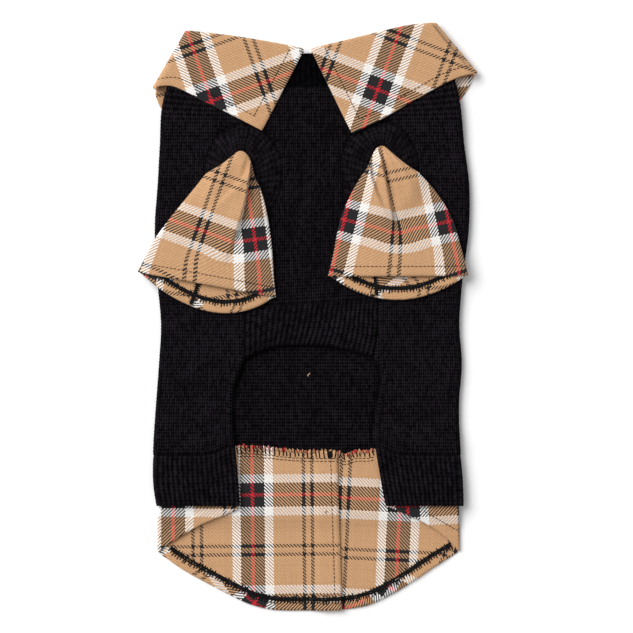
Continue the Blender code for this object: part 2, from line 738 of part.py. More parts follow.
def sleeve_loop(armhole, sections, pleats, row, face, hem):
    """One closed section of a sleeve, clockwise from its left fold over the front.

    face is 0 for the outer face and 1 for the inner one, and hem the share of the turned
    hem in the wall. From row -1 to row 0 the oval of the mouth turns into the flat sleeve.
    """
    flat = float(np.clip(row + 1, 0, 1))
    row = max(row, 0)
    index = np.arange(len(sections))
    value = {}
    for name in Section._fields:
        column = [Height(*pair) for pair in zip(index, (getattr(s, name) for s in sections))]
        value[name] = float(read(column, row, "z"))
    left = np.array([value["left_x"], value["left_y"]])
    right = np.array([value["right_x"], value["right_y"]])
    across = unit(right - left)
    start, end = left + across * SLEEVE_FOLD, right - across * SLEEVE_FOLD

    part = np.linspace(0, 1, SLEEVE_FRONT_COLUMNS)
    swell = np.sin(pi * part)
    wall = WOVEN_WALL + hem * (CUFF_HEM_WALL - WOVEN_WALL) * ease(swell, 0.1, 0.3)
    front = np.array([value["front_x"], value["front_y"]])
    top = through(start, front, end, part[:, None])
    hollow = 2 * SLEEVE_FOLD - 2 * WOVEN_WALL
    hollow = hollow + (value["hollow"] - hollow) * swell
    for pleat in pleats:
        place = pleat.top_at + (pleat.end_at - pleat.top_at) * row / pleat.end_row
        fade = ease(row, pleat.end_row + 1.5, pleat.end_row - 1)
        hollow = hollow - pleat.depth * fade * np.exp(-((part - place) / pleat.width) ** 2)
    lift = HEAD_LIFT + (2 * WOVEN_WALL + hollow - HEAD_LIFT) * flat
    front_z = sleeve_rest(top[:, 0], top[:, 1]) + lift - face * flat * wall

    part = np.linspace(1, 0, SLEEVE_BACK_COLUMNS)
    swell = np.sin(pi * part)
    wall = WOVEN_WALL + hem * (CUFF_HEM_WALL - WOVEN_WALL) * ease(swell, 0.1, 0.3)
    back = np.array([value["back_x"], value["back_y"]])
    bottom = through(start, back, end, part[:, None])
    back_z = sleeve_rest(bottom[:, 0], bottom[:, 1]) + face * flat * wall

    inset = face * WOVEN_WALL
    loop = np.concatenate([
        np.column_stack([top, front_z]),
        fold_around(right, -across, inset, (front_z[-1], back_z[0])),
        np.column_stack([bottom, back_z]),
        fold_around(left, across, inset, (back_z[-1], front_z[0])),
    ])
    mouth = mouth_loop(armhole, SEAM_GAP + inset, 0)
    loop[:, :2] += (mouth[:, :2] - loop[:, :2]) * (1 - flat)
    return loop


def mouth_loop(armhole, shrink, z):
    """Oval loop of a sleeve in its armhole, with the same columns as the other loops."""
    side = MOUTH_FOLD_TURN
    start, end = armhole.fold_left, armhole.fold_right
    front = np.linspace(start, end, SLEEVE_FRONT_COLUMNS)
    right = np.linspace(end, end - side, SLEEVE_FOLD_COLUMNS + 2)[1:-1]
    back = np.linspace(end - side, start + side - 360, SLEEVE_BACK_COLUMNS)
    left = np.linspace(start + side - 360, start - 360, SLEEVE_FOLD_COLUMNS + 2)[1:-1]
    angle = np.radians(np.concatenate([front, right, back, left]))
    x = armhole.mouth_x + (MOUTH_HALF_WIDTH - shrink) * np.cos(angle)
    y = armhole.mouth_y + (MOUTH_HALF_HEIGHT - shrink) * np.sin(angle)
    return np.column_stack([x, y, np.full(len(x), z)])


def sleeve_face(armhole, sections, pleats, face):
    """Grid of a sleeve's outer face (0) or inner face (1), from its mouth to its cuff."""
    ring_top = float(body_top(armhole.mouth_x, armhole.mouth_y)) + RING_RISE
    shrink = SEAM_GAP + face * WOVEN_WALL
    loops = [mouth_loop(armhole, shrink, ring_top - RIB_WALL / 2),
             mouth_loop(armhole, shrink, ring_top + RIB_RAISE + LAYER_GAP)]
    loops += [sleeve_loop(armhole, sections, pleats, row, face, 0) for row in SLEEVE_ROWS]
    loops += [sleeve_loop(armhole, sections, pleats, row, face, 1) for row in CUFF_ROWS]
    return np.array(loops)


def add_sleeve(name, twill, armhole, sections, pleats):
    outer = sleeve_face(armhole, sections, pleats, 0)
    inner = sleeve_face(armhole, sections, pleats, 1)
    add_shell(name, twill, outer, inner, closed=True)


def tail_floor(y):
    """Underside of the tail: on the hem band, and down on the floor beyond it."""
    return TAIL_UNDER_BAND * ease(y, TAIL_DROP_END, TAIL_DROP_START)


def tail_rows(hem_y, rows):
    """Heights from the hem up: close rows along the turned hem, then even ones."""
    band = [0.0, TAIL_HEM_BAND / 2, TAIL_HEM_BAND - 0.3, TAIL_HEM_BAND + 0.3]
    top = TAIL_TOP - hem_y
    return hem_y + np.concatenate([band, np.linspace(band[-1], top, rows - 3)[1:]])


def hem_walls(count, share, hem_wall):
    """Wall down a column of the tail, with its turned hem on the first rows."""
    band = np.where(np.arange(count) < 3, 1.0, 0.0)
    return WOVEN_WALL + (hem_wall - WOVEN_WALL) * band * share


def add_tail_half(name, twill, side, flap_x, flap_hem, edge_x):
    """One half of the tail: the flap that folds over, the side fold and the back layer.

    side is -1 for the left half and 1 for the right one.
    """
    rows = TAIL_ROWS
    fold = "left" if side < 0 else "right"
    corner_x = getattr(TAIL_SIDES[0], fold)
    inner_x = corner_x - side * TAIL_FOLD
    columns = []

    def follow_side(x, y, share):
        """Shift a column so that it keeps its place beside the tail's side fold."""
        return x + share * (read(TAIL_SIDES, y, fold) - corner_x)

    for part in np.linspace(0, 1, FLAP_COLUMNS):
        x = flap_x + part * (inner_x - flap_x)
        y = tail_rows(float(read(flap_hem, x, "y")), rows)
        puff = 2 * TAIL_FOLD - 2 * WOVEN_WALL - LAYER_GAP
        wall = hem_walls(rows, float(ease(part, 1, 0.8)), FLAP_HEM_WALL)
        z = tail_floor(y) + WOVEN_WALL + LAYER_GAP + wall + puff * float(ease(part, 0.4, 1))
        columns.append((follow_side(x, y, part), y, z, wall))

    for angle in np.linspace(pi / 2, -pi / 2, SIDE_COLUMNS + 2)[1:-1]:
        x = corner_x - side * TAIL_FOLD * (1 - np.cos(angle))
        y = tail_rows(float(read(flap_hem, corner_x, "y")), rows)
        z = tail_floor(y) + TAIL_FOLD * (1 + np.sin(angle))
        columns.append((follow_side(x, y, 1), y, z, hem_walls(rows, 0, TAIL_HEM_WALL)))

    for part in np.linspace(1, 0, TAIL_COLUMNS):
        x = edge_x + part * (inner_x - edge_x)
        y = tail_rows(float(read(TAIL_HEM, x, "y")), rows)
        wall = hem_walls(rows, float(ease(part, 1, 0.88)), TAIL_HEM_WALL)
        over = float(side < 0) * float(ease(x, PLACKET_UNDER - PLACKET_RAMP, PLACKET_UNDER))
        z = tail_floor(y) + over * (wall + LAYER_GAP)
        columns.append((follow_side(x, y, part), y, z, wall))

    if side > 0:
        columns = columns[::-1]
    points = np.array([np.column_stack(column[:3]) for column in columns])
    thickness = np.array([column[3] for column in columns])
    add_wall(name, twill, points.transpose(1, 0, 2), thickness.T)


# ---------------------------------------------------------------- the garment

def centre_on_origin():
    """Move the garment so that the origin is under the middle of its outline."""
    bpy.context.view_layer.update()
    corners = np.array([piece.matrix_world @ vertex.co
                        for piece in bpy.data.objects for vertex in piece.data.vertices])
    low, high = corners.min(axis=0), corners.max(axis=0)
    for piece in bpy.data.objects:
        piece.location.x -= (low[0] + high[0]) / 2
        piece.location.y -= (low[1] + high[1]) / 2
        piece.location.z -= low[2]


def build_garment():
    for leftover in list(bpy.data.objects):
        bpy.data.objects.remove(leftover, do_unlink=True)

    knit = material("stockinette", (0.016, 0.015, 0.017), 0.95)
    rib = material("rib_knit", (0.014, 0.013, 0.015), 0.95)
    twill = material("check_twill", (0.56, 0.40, 0.24), 0.85)

    add_back_panel(knit)
    add_chest_panel(knit)
    add_belly_rib(rib)
    add_hem_rib(rib)
    add_neck_rib(rib)
    add_armhole_rib("armhole_rib_left", rib, ARMHOLE_LEFT)
    add_armhole_rib("armhole_rib_right", rib, ARMHOLE_RIGHT)
    add_collar(twill)
    add_sleeve("sleeve_left", twill, ARMHOLE_LEFT, SLEEVE_LEFT, PLEATS_LEFT)
    add_sleeve("sleeve_right", twill, ARMHOLE_RIGHT, SLEEVE_RIGHT, PLEATS_RIGHT)
    add_tail_half("tail_left", twill, -1, TAIL_FLAP_LEFT, FLAP_HEM_LEFT, PLACKET_EDGE)
    add_tail_half("tail_right", twill, 1, TAIL_FLAP_RIGHT, FLAP_HEM_RIGHT, PLACKET_UNDER)
    centre_on_origin()


build_garment()
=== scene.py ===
"""Dog cardigan laid flat, belly side up: its looks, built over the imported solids.

Sizes are in millimetres, in the plan of the part's own source: X across the garment, Y from
the tail to the neck and Z up from the surface that it lies on. Left and right are as seen
from above. Meshes are moved to the frame and scaled to metres where they are made.

A cloth piece is gathered from grids of points, rows by columns. Each point also has its
place on the flat cloth, in millimetres, which the weave and knit materials read as a UV map.
"""

from collections import namedtuple
from math import pi

import bmesh
import bpy
import numpy as np
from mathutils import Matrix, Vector
from mathutils.bvhtree import BVHTree


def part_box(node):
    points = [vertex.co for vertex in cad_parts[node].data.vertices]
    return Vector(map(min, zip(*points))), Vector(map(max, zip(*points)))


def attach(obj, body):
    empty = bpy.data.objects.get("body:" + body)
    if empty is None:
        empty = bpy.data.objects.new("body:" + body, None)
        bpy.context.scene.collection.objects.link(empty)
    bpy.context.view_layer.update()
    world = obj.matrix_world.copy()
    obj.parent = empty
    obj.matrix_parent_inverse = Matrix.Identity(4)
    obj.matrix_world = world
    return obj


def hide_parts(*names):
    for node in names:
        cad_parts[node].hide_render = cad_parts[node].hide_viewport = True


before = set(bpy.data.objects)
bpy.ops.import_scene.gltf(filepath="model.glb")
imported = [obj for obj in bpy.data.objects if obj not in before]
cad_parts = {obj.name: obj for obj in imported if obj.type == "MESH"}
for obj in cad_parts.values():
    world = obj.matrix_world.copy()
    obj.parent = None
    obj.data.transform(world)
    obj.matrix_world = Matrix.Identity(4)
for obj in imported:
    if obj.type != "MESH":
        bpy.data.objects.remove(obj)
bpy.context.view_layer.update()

MM = 0.001
ROOT = "root"


def row_table(kind, rows):
    return [kind(*row) for row in rows]


# ---- sizes shared with the part

KNIT_WALL = 2.0
RIB_WALL = 2.2
WOVEN_WALL = 1.0
COLLAR_WALL = 1.2
SEAM_GAP = 0.3
LAYER_GAP = 0.4

NECK_SEAM = 159.5
NECK_SEAM_RISE = 13.0
NECK_BEND_REACH = 26.0
NECK_HALF_WIDTH = 90.0
HEM_SEAM = -98.5
HEM_EDGE = -133.5
TAIL_TOP = -92.0

Side = namedtuple("Side", "y left right")
BODY_SIDES = row_table(Side, (
    (-135, -105.5, 110.0), (-119, -107.8, 109.5), (-91, -107.5, 107.2),
    (-63, -105.7, 106.4), (-35, -103.6, 108.3), (-7, -102.2, 106.6),
    (21, -104.5, 108.5), (63, -106.5, 113.5), (91, -104.5, 113.5),
    (119, -103.0, 110.0), (147, -101.0, 107.0), (173, -92.0, 100.0),
))

Height = namedtuple("Height", "y z")
FRONT_TOP = row_table(Height, (
    (-136, 8.3), (-122, 8.0), (-110, 7.6), (-100, 7.5), (-89, 7.5), (-77, 5.6),
    (-40, 5.4), (20, 5.4), (70, 5.6), (118, 5.8), (136, 6.4), (175, 6.4),
))
BACK_LEAF_EDGE = 130.0
BACK_LIFT = 1.8
BACK_LIFT_RAMP = 12.0
SIDE_PUFF = 0.8
SIDE_PUFF_REACH = 13.0

# Soft creases of the front layer: ridges are positive, troughs negative. The first nine are
# in the part's source too.
Crease = namedtuple("Crease", "x y angle length width height")
CREASES = row_table(Crease, (
    (-84, -50, -6, 26, 6, -0.7), (-78, -76, 8, 28, 7, 0.6),
    (-90, 4, 20, 20, 7, -0.6), (82, -30, 9, 26, 7, -0.6), (88, -66, -8, 24, 7, 0.7),
    (92, 20, -25, 24, 8, 0.6), (96, 118, 70, 30, 9, -0.6),
    (-88, 112, -65, 30, 9, -0.6), (2, 60, 80, 40, 10, 0.5),
    (-66, -62, 4, 22, 4, -0.3), (70, -86, -5, 26, 5, 0.35),
    (80, -73, 4, 25, 7, -0.9), (-80, -47, -3, 26, 5.5, 0.6),
    (-82, -56, -3, 26, 5.5, -0.55), (-80, -17, -3, 24, 7, -0.5),
    (0, 34, 0, 26, 5, -0.45), (74, -52, 12, 20, 4, 0.25),
    (-92, -28, -14, 16, 4, 0.25), (10, 110, 30, 24, 6, -0.3),
    (-3, 85, 83, 17, 2.6, -0.6), (16, 98, 96, 22, 3.0, -0.4),
    (84, -44, 3, 24, 4, -0.4),
))

Edge = namedtuple("Edge", "y left right")
CUTOUT_EDGE = row_table(Edge, (
    (-134, -46.9, 55.2), (-116, -48.3, 51.2), (-91, -51.3, 46.9),
    (-68, -52.1, 48.6), (-51, -50.8, 51.3), (-39, -47.0, 52.4), (-30, -43.4, 46.5),
))
CUTOUT_TOP = -30.0
SIDE_SEAMS = row_table(Edge, (
    (-30, -43.4, 46.5), (-15, -43.4, 49.2), (0, -43.4, 49.7), (70, -43.4, 49.7),
))

Armhole = namedtuple("Armhole", "x y mouth_x mouth_y fold_left fold_right")
ARMHOLE_LEFT = Armhole(-44.1, 99.4, -46.3, 94.5, 125, 15)
ARMHOLE_RIGHT = Armhole(51.1, 101.5, 52.3, 98.0, 155, 50)

# The two sides of the garment
SIDE_NAME = {-1: "left", 1: "right"}
ARMHOLES = {-1: ARMHOLE_LEFT, 1: ARMHOLE_RIGHT}
RING_HALF_WIDTH = 27.3
RING_HALF_HEIGHT = 35.0
MOUTH_HALF_WIDTH = 9.5
MOUTH_HALF_HEIGHT = 20.5
RING_RISE = 1.8
RING_RIBS = 41
RIB_RAISE = 0.6
SHOULDER_TOP = 31.5

Arch = namedtuple("Arch", "x y")
BELLY_ARCH = row_table(Arch, (
    (-44, -30.8), (-31, -24.5), (-1, -21.0), (24, -23.1), (49, -29.5),
))
BELLY_TOP_LEFT = 4.9
BELLY_TOP_RIGHT = 10.5
BELLY_RIBS = 26
BELLY_LEAN = 5.0
HEM_RIBS = 16
HEM_BACK_RIBS = 51

NECK_RIBS = 46
NECK_GAP = 0.6
NECK_TOP_LEFT = -82.0
NECK_TOP_RIGHT = 88.0
NECK_FRONT_TOP = 6.4

Roll = namedtuple("Roll", "x y")
ROLL_LINE = row_table(Roll, (
    (-86.1, 199.5), (-55.3, 196.0), (-13.3, 189.0), (0.3, 186.4), (12.6, 189.0),
    (41.3, 196.0), (71.4, 203.0), (91.7, 205.1),
))
Leaf = namedtuple("Leaf", "along roll_x edge_x edge_y")
LEAF_LEFT = row_table(Leaf, (
    (0.00, -86.1, -108.1, 159.6), (0.15, -75.0, -96.5, 160.8),
    (0.45, -50.0, -71.0, 149.3), (0.75, -23.0, -50.5, 139.3),
    (1.00, -2.8, -31.5, 129.5),
))
LEAF_RIGHT = row_table(Leaf, (
    (0.00, 3.5, 31.5, 127.4), (0.25, 24.0, 50.0, 136.3), (0.55, 52.0, 75.0, 150.5),
    (0.85, 79.0, 105.0, 166.2), (1.00, 91.7, 119.3, 170.1),
))
LEAF_BACK = row_table(Leaf, (
    (0.00, 91.7, 119.3, 170.1), (0.12, 78.0, 103.6, 147.0),
    (0.28, 55.0, 75.6, 135.1), (0.50, 0.3, 0.0, 135.5), (0.76, -50.0, -74.9, 132.0),
    (0.88, -72.0, -99.4, 142.1), (1.00, -86.1, -108.1, 159.6),
))
ROLL_RADIUS = 1.9
STAND = 1.2
STAND_INSET = 3.0
LEAF_TOP = 8.6
LEAF_TOP_RAMP = 12.0
COLLAR_FOLD = 4.3

Section = namedtuple(
    "Section", "left_x left_y right_x right_y front_x front_y back_x back_y hollow")
SLEEVE_LEFT = row_table(Section, (
    (-70.7, 98.7, -33.2, 90.3, -47.6, 105.0, -46.9, 62.3, 1.8),
    (-82.6, 84.0, -29.7, 79.1, -51.8, 91.0, -49.7, 53.9, 2.4),
    (-94.5, 69.3, -26.9, 65.1, -56.0, 75.6, -53.2, 43.4, 2.4),
    (-105.0, 55.3, -24.8, 50.4, -60.2, 60.2, -56.7, 32.9, 2.6),
    (-111.6, 43.4, -23.8, 37.1, -63.7, 46.9, -60.2, 23.1, 2.8),
    (-115.5, 35.7, -23.1, 25.2, -67.2, 33.6, -63.7, 11.9, 3.0),
    (-118.3, 30.4, -21.7, 12.6, -70.0, 21.7, -67.2, 2.8, 3.2),
))
SLEEVE_RIGHT = row_table(Section, (
    (37.1, 95.9, 78.4, 99.4, 54.6, 108.5, 53.9, 65.1, 1.8),
    (30.8, 84.7, 88.9, 87.8, 57.4, 94.5, 56.7, 55.3, 2.4),
    (25.2, 72.1, 96.9, 76.3, 59.5, 79.1, 58.8, 44.8, 2.4),
    (21.3, 58.1, 102.9, 63.7, 61.2, 64.4, 60.2, 34.3, 2.6),
    (18.9, 45.5, 107.1, 49.7, 62.3, 50.4, 61.2, 24.5, 2.8),
    (16.8, 35.7, 110.2, 37.8, 63.0, 38.5, 61.9, 17.5, 3.0),
    (14.7, 27.6, 112.7, 28.0, 63.7, 27.6, 63.0, 11.2, 3.2),
))
SLEEVE_FOLD = 1.5
CUFF_HEM_WALL = 1.8
SLEEVE_LIFT = 1.6
HEAD_LIFT = 0.4
MOUTH_FOLD_TURN = 12.0

Pleat = namedtuple("Pleat", "top_at end_at end_row width depth")
PLEATS_LEFT = row_table(Pleat, (
    (0.765, 0.64, 3.6, 0.08, 2.8), (0.74, 0.52, 1.2, -0.10, 2.2),
))
PLEATS_RIGHT = row_table(Pleat, (
    (0.44, 0.50, 2.9, 0.10, 2.8), (0.20, 0.38, 1.9, 0.07, 2.0),
))

TAIL_SIDES = row_table(Side, (
    (-165, -104.9, 106.8), (-148, -104.9, 106.8), (-139, -104.4, 106.6),
    (-131, -102.7, 106.2), (-116, -104.2, 105.9), (-91, -104.0, 104.0),
))
TAIL_FLAP_LEFT = -48.9
TAIL_FLAP_RIGHT = 55.5
TAIL_DROP_START = -137.5
TAIL_DROP_END = -152.0
TAIL_UNDER_BAND = 2.6
TAIL_FOLD = 1.5
TAIL_HEM_WALL = 2.0
FLAP_HEM_WALL = 1.6
PLACKET_EDGE = 21.0
PLACKET_UNDER = 10.0
PLACKET_RAMP = 9.0
Hem = namedtuple("Hem", "x y")
TAIL_HEM = row_table(Hem, (
    (-104.2, -166.5), (-85.0, -179.0), (-67.0, -188.8), (-52.8, -196.2),
    (-41.3, -201.6), (-29.9, -204.8), (0.0, -206.5), (18.7, -206.3), (43.0, -202.6),
    (61.5, -194.0), (75.8, -185.2), (90.1, -175.5), (106.6, -165.6),
))
TAIL_HEM_LOWEST = -206.5
FLAP_HEM_LEFT = row_table(Hem, (
    (-104.8, -166.0), (-99.0, -161.5), (-79.0, -149.2), (-49.0, -136.0),
))
FLAP_HEM_RIGHT = row_table(Hem, (
    (49.0, -130.5), (70.7, -139.7), (84.4, -146.6), (100.7, -158.6),
    (106.6, -165.0),
))

# ---- sizes of the finer form

# Stockinette: the width of a wale and the height of a course. A wale has four columns of
# points: the valley beside it, a leg of the V, its middle and the other leg.
WALE = 3.15
COURSE = 2.31
STITCH_HEIGHT = (-0.22, 0.3, 0.02, 0.3)
STITCH_LEAN = (0.5, 0.25, 0.0, 0.25)
COURSE_GROOVE = 0.22
PURL_HEIGHT = 0.3
ROLLED_EDGE = 4.2
ROLLED_RISE = 0.7
EDGE_DROP = 0.9
EDGE_BED = 1.3
KNIT_CREASE_SHARE = 1.2
Trough = namedtuple("Trough", "depth width")
HEM_TROUGH = Trough(1.5, 2.0)
SIDE_TROUGH = Trough(0.8, 1.3)
RING_TROUGH = Trough(0.7, 1.6)
STITCH_UNEVEN = 0.03
SEAM_LOW_END = (-34, -26)
SEAM_HIGH_END = (66, 58)
HEM_LIFT = 6.5
HEM_LIFT_REACH = 12.0

# A 1x1 rib has six columns of points: its valley, its side, a leg, its middle and so on
RIB_HEIGHT = (-0.5, -0.25, 0.5, 0.34, 0.5, -0.25)
RIB_LEAN = (0.0, 0.1, 0.0, -0.35, 0.0, 0.1)
RIB_GROOVE = 0.14

# Woven check: yarns in each stripe of a repeat, in order
YARN = 0.6
Stripe = namedtuple("Stripe", "yarns colour")
CAMEL = (0.588, 0.338, 0.176)
CHARCOAL = (0.017, 0.017, 0.019)
WHITE = (0.900, 0.880, 0.850)
BRICK = (0.560, 0.020, 0.032)
CHECK = row_table(Stripe, (
    (34, CAMEL), (4, CHARCOAL), (6, CAMEL), (4, CHARCOAL), (34, CAMEL), (10, WHITE),
    (12, CHARCOAL), (4, BRICK), (12, CHARCOAL), (10, WHITE),
))
REPEAT = sum(stripe.yarns for stripe in CHECK)

WOBBLE = 0.4
INNER_SEAM_X = 17.5
INNER_SEAM = Trough(0.7, 0.9)

# Where the plan's origin lies in the frame, in millimetres
TAIL_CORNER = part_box("tail_left")[1]
PLAN_SHIFT = np.array([TAIL_CORNER.x / MM - PLACKET_EDGE, TAIL_CORNER.y / MM - TAIL_TOP, 0.0])


# ---- tables and surfaces

def read(table, at, column):
    """Value of a table's column at a place along its first column, on a smooth curve."""
    keys = np.array([row[0] for row in table], float)
    values = np.array([getattr(row, column) for row in table], float)
    slopes = np.gradient(values, keys)
    at = np.clip(np.asarray(at, float), keys[0], keys[-1])
    low = np.clip(np.searchsorted(keys, at, side="right") - 1, 0, len(keys) - 2)
    span = keys[low + 1] - keys[low]
    t = (at - keys[low]) / span
    rest = 1 - t
    return (values[low] * (1 + 2 * t) * rest ** 2 + values[low + 1] * t ** 2 * (3 - 2 * t)
            + span * (slopes[low] * t * rest ** 2 - slopes[low + 1] * t ** 2 * rest))


def ease(value, start, end):
    """Smooth step from 0 at start to 1 at end."""
    t = np.clip((np.asarray(value, float) - start) / (end - start), 0, 1)
    return t * t * (3 - 2 * t)


def creases(x, y):
    """Height that the soft creases add to the front layer."""
    total = 0.0
    for crease in CREASES:
        turn = np.radians(crease.angle)
        along = (x - crease.x) * np.cos(turn) + (y - crease.y) * np.sin(turn)
        across = (y - crease.y) * np.cos(turn) - (x - crease.x) * np.sin(turn)
        fade = np.exp(-(along / crease.length) ** 2 - (across / crease.width) ** 2)
        total = total + crease.height * fade
    return total


def body_top(x, y):
    """Outer face of the front layer."""
    puff = dip(x - read(BODY_SIDES, y, "left"), SIDE_PUFF_REACH)
    puff = puff + dip(read(BODY_SIDES, y, "right") - x, SIDE_PUFF_REACH)
    return read(FRONT_TOP, y, "z") + SIDE_PUFF * np.minimum(puff, 1) + creases(x, y)


def dip(distance, width):
    """Bell curve of a trough or a ridge, 1 in its middle."""
    return np.exp(-(distance / width) ** 2)


def hem_lift(x):
    """How far the hem seam of the front rises beside the cut-out."""
    left, right = CUTOUT_EDGE[2].left, CUTOUT_EDGE[2].right
    return HEM_LIFT * (dip(x - left, HEM_LIFT_REACH) + dip(x - right, HEM_LIFT_REACH))


def knit_top(x, y):
    """Outer face of the front's knit: the front layer with troughs along its seams."""
    seams = HEM_TROUGH.depth * dip(y - HEM_SEAM, HEM_TROUGH.width)
    beside = ease(y, *SEAM_LOW_END) * ease(y, *SEAM_HIGH_END)
    for side, armhole in ARMHOLES.items():
        from_seam = x - read(SIDE_SEAMS, y, SIDE_NAME[side])
        seams = seams + SIDE_TROUGH.depth * dip(from_seam, SIDE_TROUGH.width) * beside
        ring = (ring_reach(armhole, x, y) - 1) * RING_HALF_WIDTH
        seams = seams + RING_TROUGH.depth * dip(ring, RING_TROUGH.width)
    return body_top(x, y) + KNIT_CREASE_SHARE * creases(x, y) - seams


def body_underside(y):
    """Outer face of the back layer: on the floor, and lifted over the collar's back leaf."""
    return BACK_LIFT * ease(y, BACK_LEAF_EDGE - BACK_LIFT_RAMP, BACK_LEAF_EDGE)


def ring_reach(armhole, x, y):
    """1 on the ring's outer seam, falling towards its middle."""
    return np.hypot((x - armhole.x) / RING_HALF_WIDTH, (y - armhole.y) / RING_HALF_HEIGHT)


def ring_rise(armhole, x, y):
    """Height of the armhole ring over the front layer."""
    return RING_RISE * ease(ring_reach(armhole, x, y), 1.0, 0.55)


def neck_seam_lift(x):
    """How far the neck seam rises from the middle towards the sides."""
    return NECK_SEAM_RISE * (np.abs(x) / NECK_HALF_WIDTH) ** 2


def covered(x, y):
    """Height that a sleeve or a leaf clears: the front layer, the rings and their ribs."""
    ring_left = ease(ring_reach(ARMHOLE_LEFT, x, y), 1.3, 0.85)
    ring_right = ease(ring_reach(ARMHOLE_RIGHT, x, y), 1.3, 0.85)
    return body_top(x, y) + (RING_RISE + RIB_RAISE) * np.maximum(ring_left, ring_right)


def points_of(*coordinates):
    """Points from their coordinates, each spread over the others' rows and columns."""
    return np.stack(np.broadcast_arrays(*coordinates), axis=-1)


def unit(vectors):
    return vectors / np.maximum(np.linalg.norm(vectors, axis=-1, keepdims=True), 1e-9)


def grid_normals(points, closed=False):
    """Outward normals of a grid of points, rows by columns."""
    if closed:
        along = np.roll(points, -1, axis=1) - np.roll(points, 1, axis=1)
    else:
        along = np.gradient(points, axis=1)
    return unit(np.cross(np.gradient(points, axis=0), along))


def through(first, middle, last, part):
    """Curve through three points."""
    control = 2 * middle - (first + last) / 2
    rest = 1 - part
    return first * rest ** 2 + 2 * control * part * rest + last * part ** 2


def mirror(points, first, second):
    """Points in plan, mirrored in the line through two points."""
    first, second = np.array(first, float), np.array(second, float)
    way = unit(second - first)
    offset = points - first
    return first + 2 * (offset @ way)[..., None] * way - offset


def turned(points, degrees, centre=(0.0, 0.0)):
    """Cloth coordinates of points in plan, for a cloth whose grain is turned."""
    angle = np.radians(degrees)
    x, y = points[..., 0] - centre[0], points[..., 1] - centre[1]
    return points_of(x * np.cos(angle) + y * np.sin(angle),
                     y * np.cos(angle) - x * np.sin(angle))


def noise_wave(at, seed):
    """Uneven slow wave between about -1 and 1, the same on every run."""
    phases = np.random.default_rng(seed).uniform(0, 2 * pi, 4)
    return sum(np.sin(at * rate + phase) / (rank + 1.5) for rank, (rate, phase)
               in enumerate(zip((0.11, 0.23, 0.47, 0.9), phases)))


# ---- meshes

class Cloth:
    """Points, cloth coordinates and faces of one piece, gathered grid by grid."""

    def __init__(self):
        self.points, self.places, self.faces, self.slots = [], [], [], []
        self.count = 0

    def grid(self, points, places, closed=False, slot=0):
        """Add a grid of points and its faces; its vertex numbers come back as a grid."""
        rows, columns = points.shape[:2]
        numbers = self.count + np.arange(rows * columns).reshape(rows, columns)
        self.points.append(points.reshape(-1, 3))
        self.places.append(np.broadcast_to(places, (rows, columns, 2)).reshape(-1, 2))
        self.count += rows * columns
        ring = np.concatenate([numbers, numbers[:, :1]], axis=1) if closed else numbers
        corners = np.stack([ring[:-1, :-1], ring[1:, :-1], ring[1:, 1:], ring[:-1, 1:]], axis=-1)
        self.faces += corners.reshape(-1, 4).tolist()
        slots = np.broadcast_to(slot, corners.shape[:2])
        self.slots += slots.reshape(-1).tolist()
        return numbers

    def join(self, first, second, first_at, second_at):
        """Triangles between two lines of vertices, each with its places along the line."""
        a = b = 0
        while a < len(first) - 1 or b < len(second) - 1:
            step_first = b == len(second) - 1
            if a < len(first) - 1 and not step_first:
                step_first = first_at[a + 1] <= second_at[b + 1]
            if step_first:
                self.faces.append([int(first[a]), int(second[b]), int(first[a + 1])])
                a += 1
            else:
                self.faces.append([int(first[a]), int(second[b]), int(second[b + 1])])
                b += 1
            self.slots.append(0)

    def make(self, name, materials):
        """The piece's object, moved to the frame, with doubled points merged."""
        points = (np.concatenate(self.points) + PLAN_SHIFT) * MM
        places = np.concatenate(self.places)
        mesh = bpy.data.meshes.new(name)
        mesh.from_pydata(points.tolist(), [], self.faces)
        layer = mesh.uv_layers.new(name="cloth")
        corners = np.zeros(len(mesh.loops), np.int32)
        mesh.loops.foreach_get("vertex_index", corners)
        layer.data.foreach_set("uv", places[corners].astype(np.float32).ravel())
        mesh.polygons.foreach_set("material_index", np.array(self.slots, np.int32))
        for cloth in materials:
            mesh.materials.append(cloth)
        shape = bmesh.new()
        shape.from_mesh(mesh)
        bmesh.ops.remove_doubles(shape, verts=shape.verts, dist=2e-6)
        bmesh.ops.dissolve_degenerate(shape, edges=shape.edges, dist=2e-6)
        bmesh.ops.recalc_face_normals(shape, faces=shape.faces)
        shape.to_mesh(mesh)
        shape.free()
        mesh.shade_smooth()
        piece = bpy.data.objects.new(name, mesh)
        bpy.context.scene.collection.objects.link(piece)
        return piece


RIM_ROUND = 0.38


def along_line(points):
    """Places from 0 to 1 along a line of points."""
    steps = np.linalg.norm(np.diff(points, axis=0), axis=1)
    total = np.concatenate([[0], np.cumsum(steps)])
    return total / total[-1]


def thin_shell(name, materials, outer, inner, outer_places, inner_places, closed=False):
    """Shell between two faces of a woven piece, with a rounded rim."""
    cloth = Cloth()
    outside = cloth.grid(outer, outer_places, closed)
    inside = cloth.grid(inner, inner_places, closed)

    def rim(line, near, back, numbers, back_numbers, places):
        """Round the rim that joins an edge line of each face."""
        wall = np.linalg.norm(line - back, axis=1, keepdims=True)
        middle = (line + back) / 2
        middle = middle + unit(line - near) * wall * RIM_ROUND
        number = cloth.grid(np.stack([middle]), places[None])[0]
        if closed:
            number, numbers, back_numbers = (
                np.append(ring, ring[0]) for ring in (number, numbers, back_numbers))
        following = np.arange(len(number))
        cloth.join(numbers, number, following, following)
        cloth.join(number, back_numbers, following, following)

    parts = (outer, inner, outside, inside, outer_places)
    turns = [parts]
    if not closed:
        turns.append([part.swapaxes(0, 1) for part in parts])
    for face, back, numbers, back_numbers, places in turns:
        for end, near in ((0, 1), (-1, -2)):
            rim(face[end], face[near], back[end], numbers[end], back_numbers[end], places[end])
    return cloth.make(name, materials)


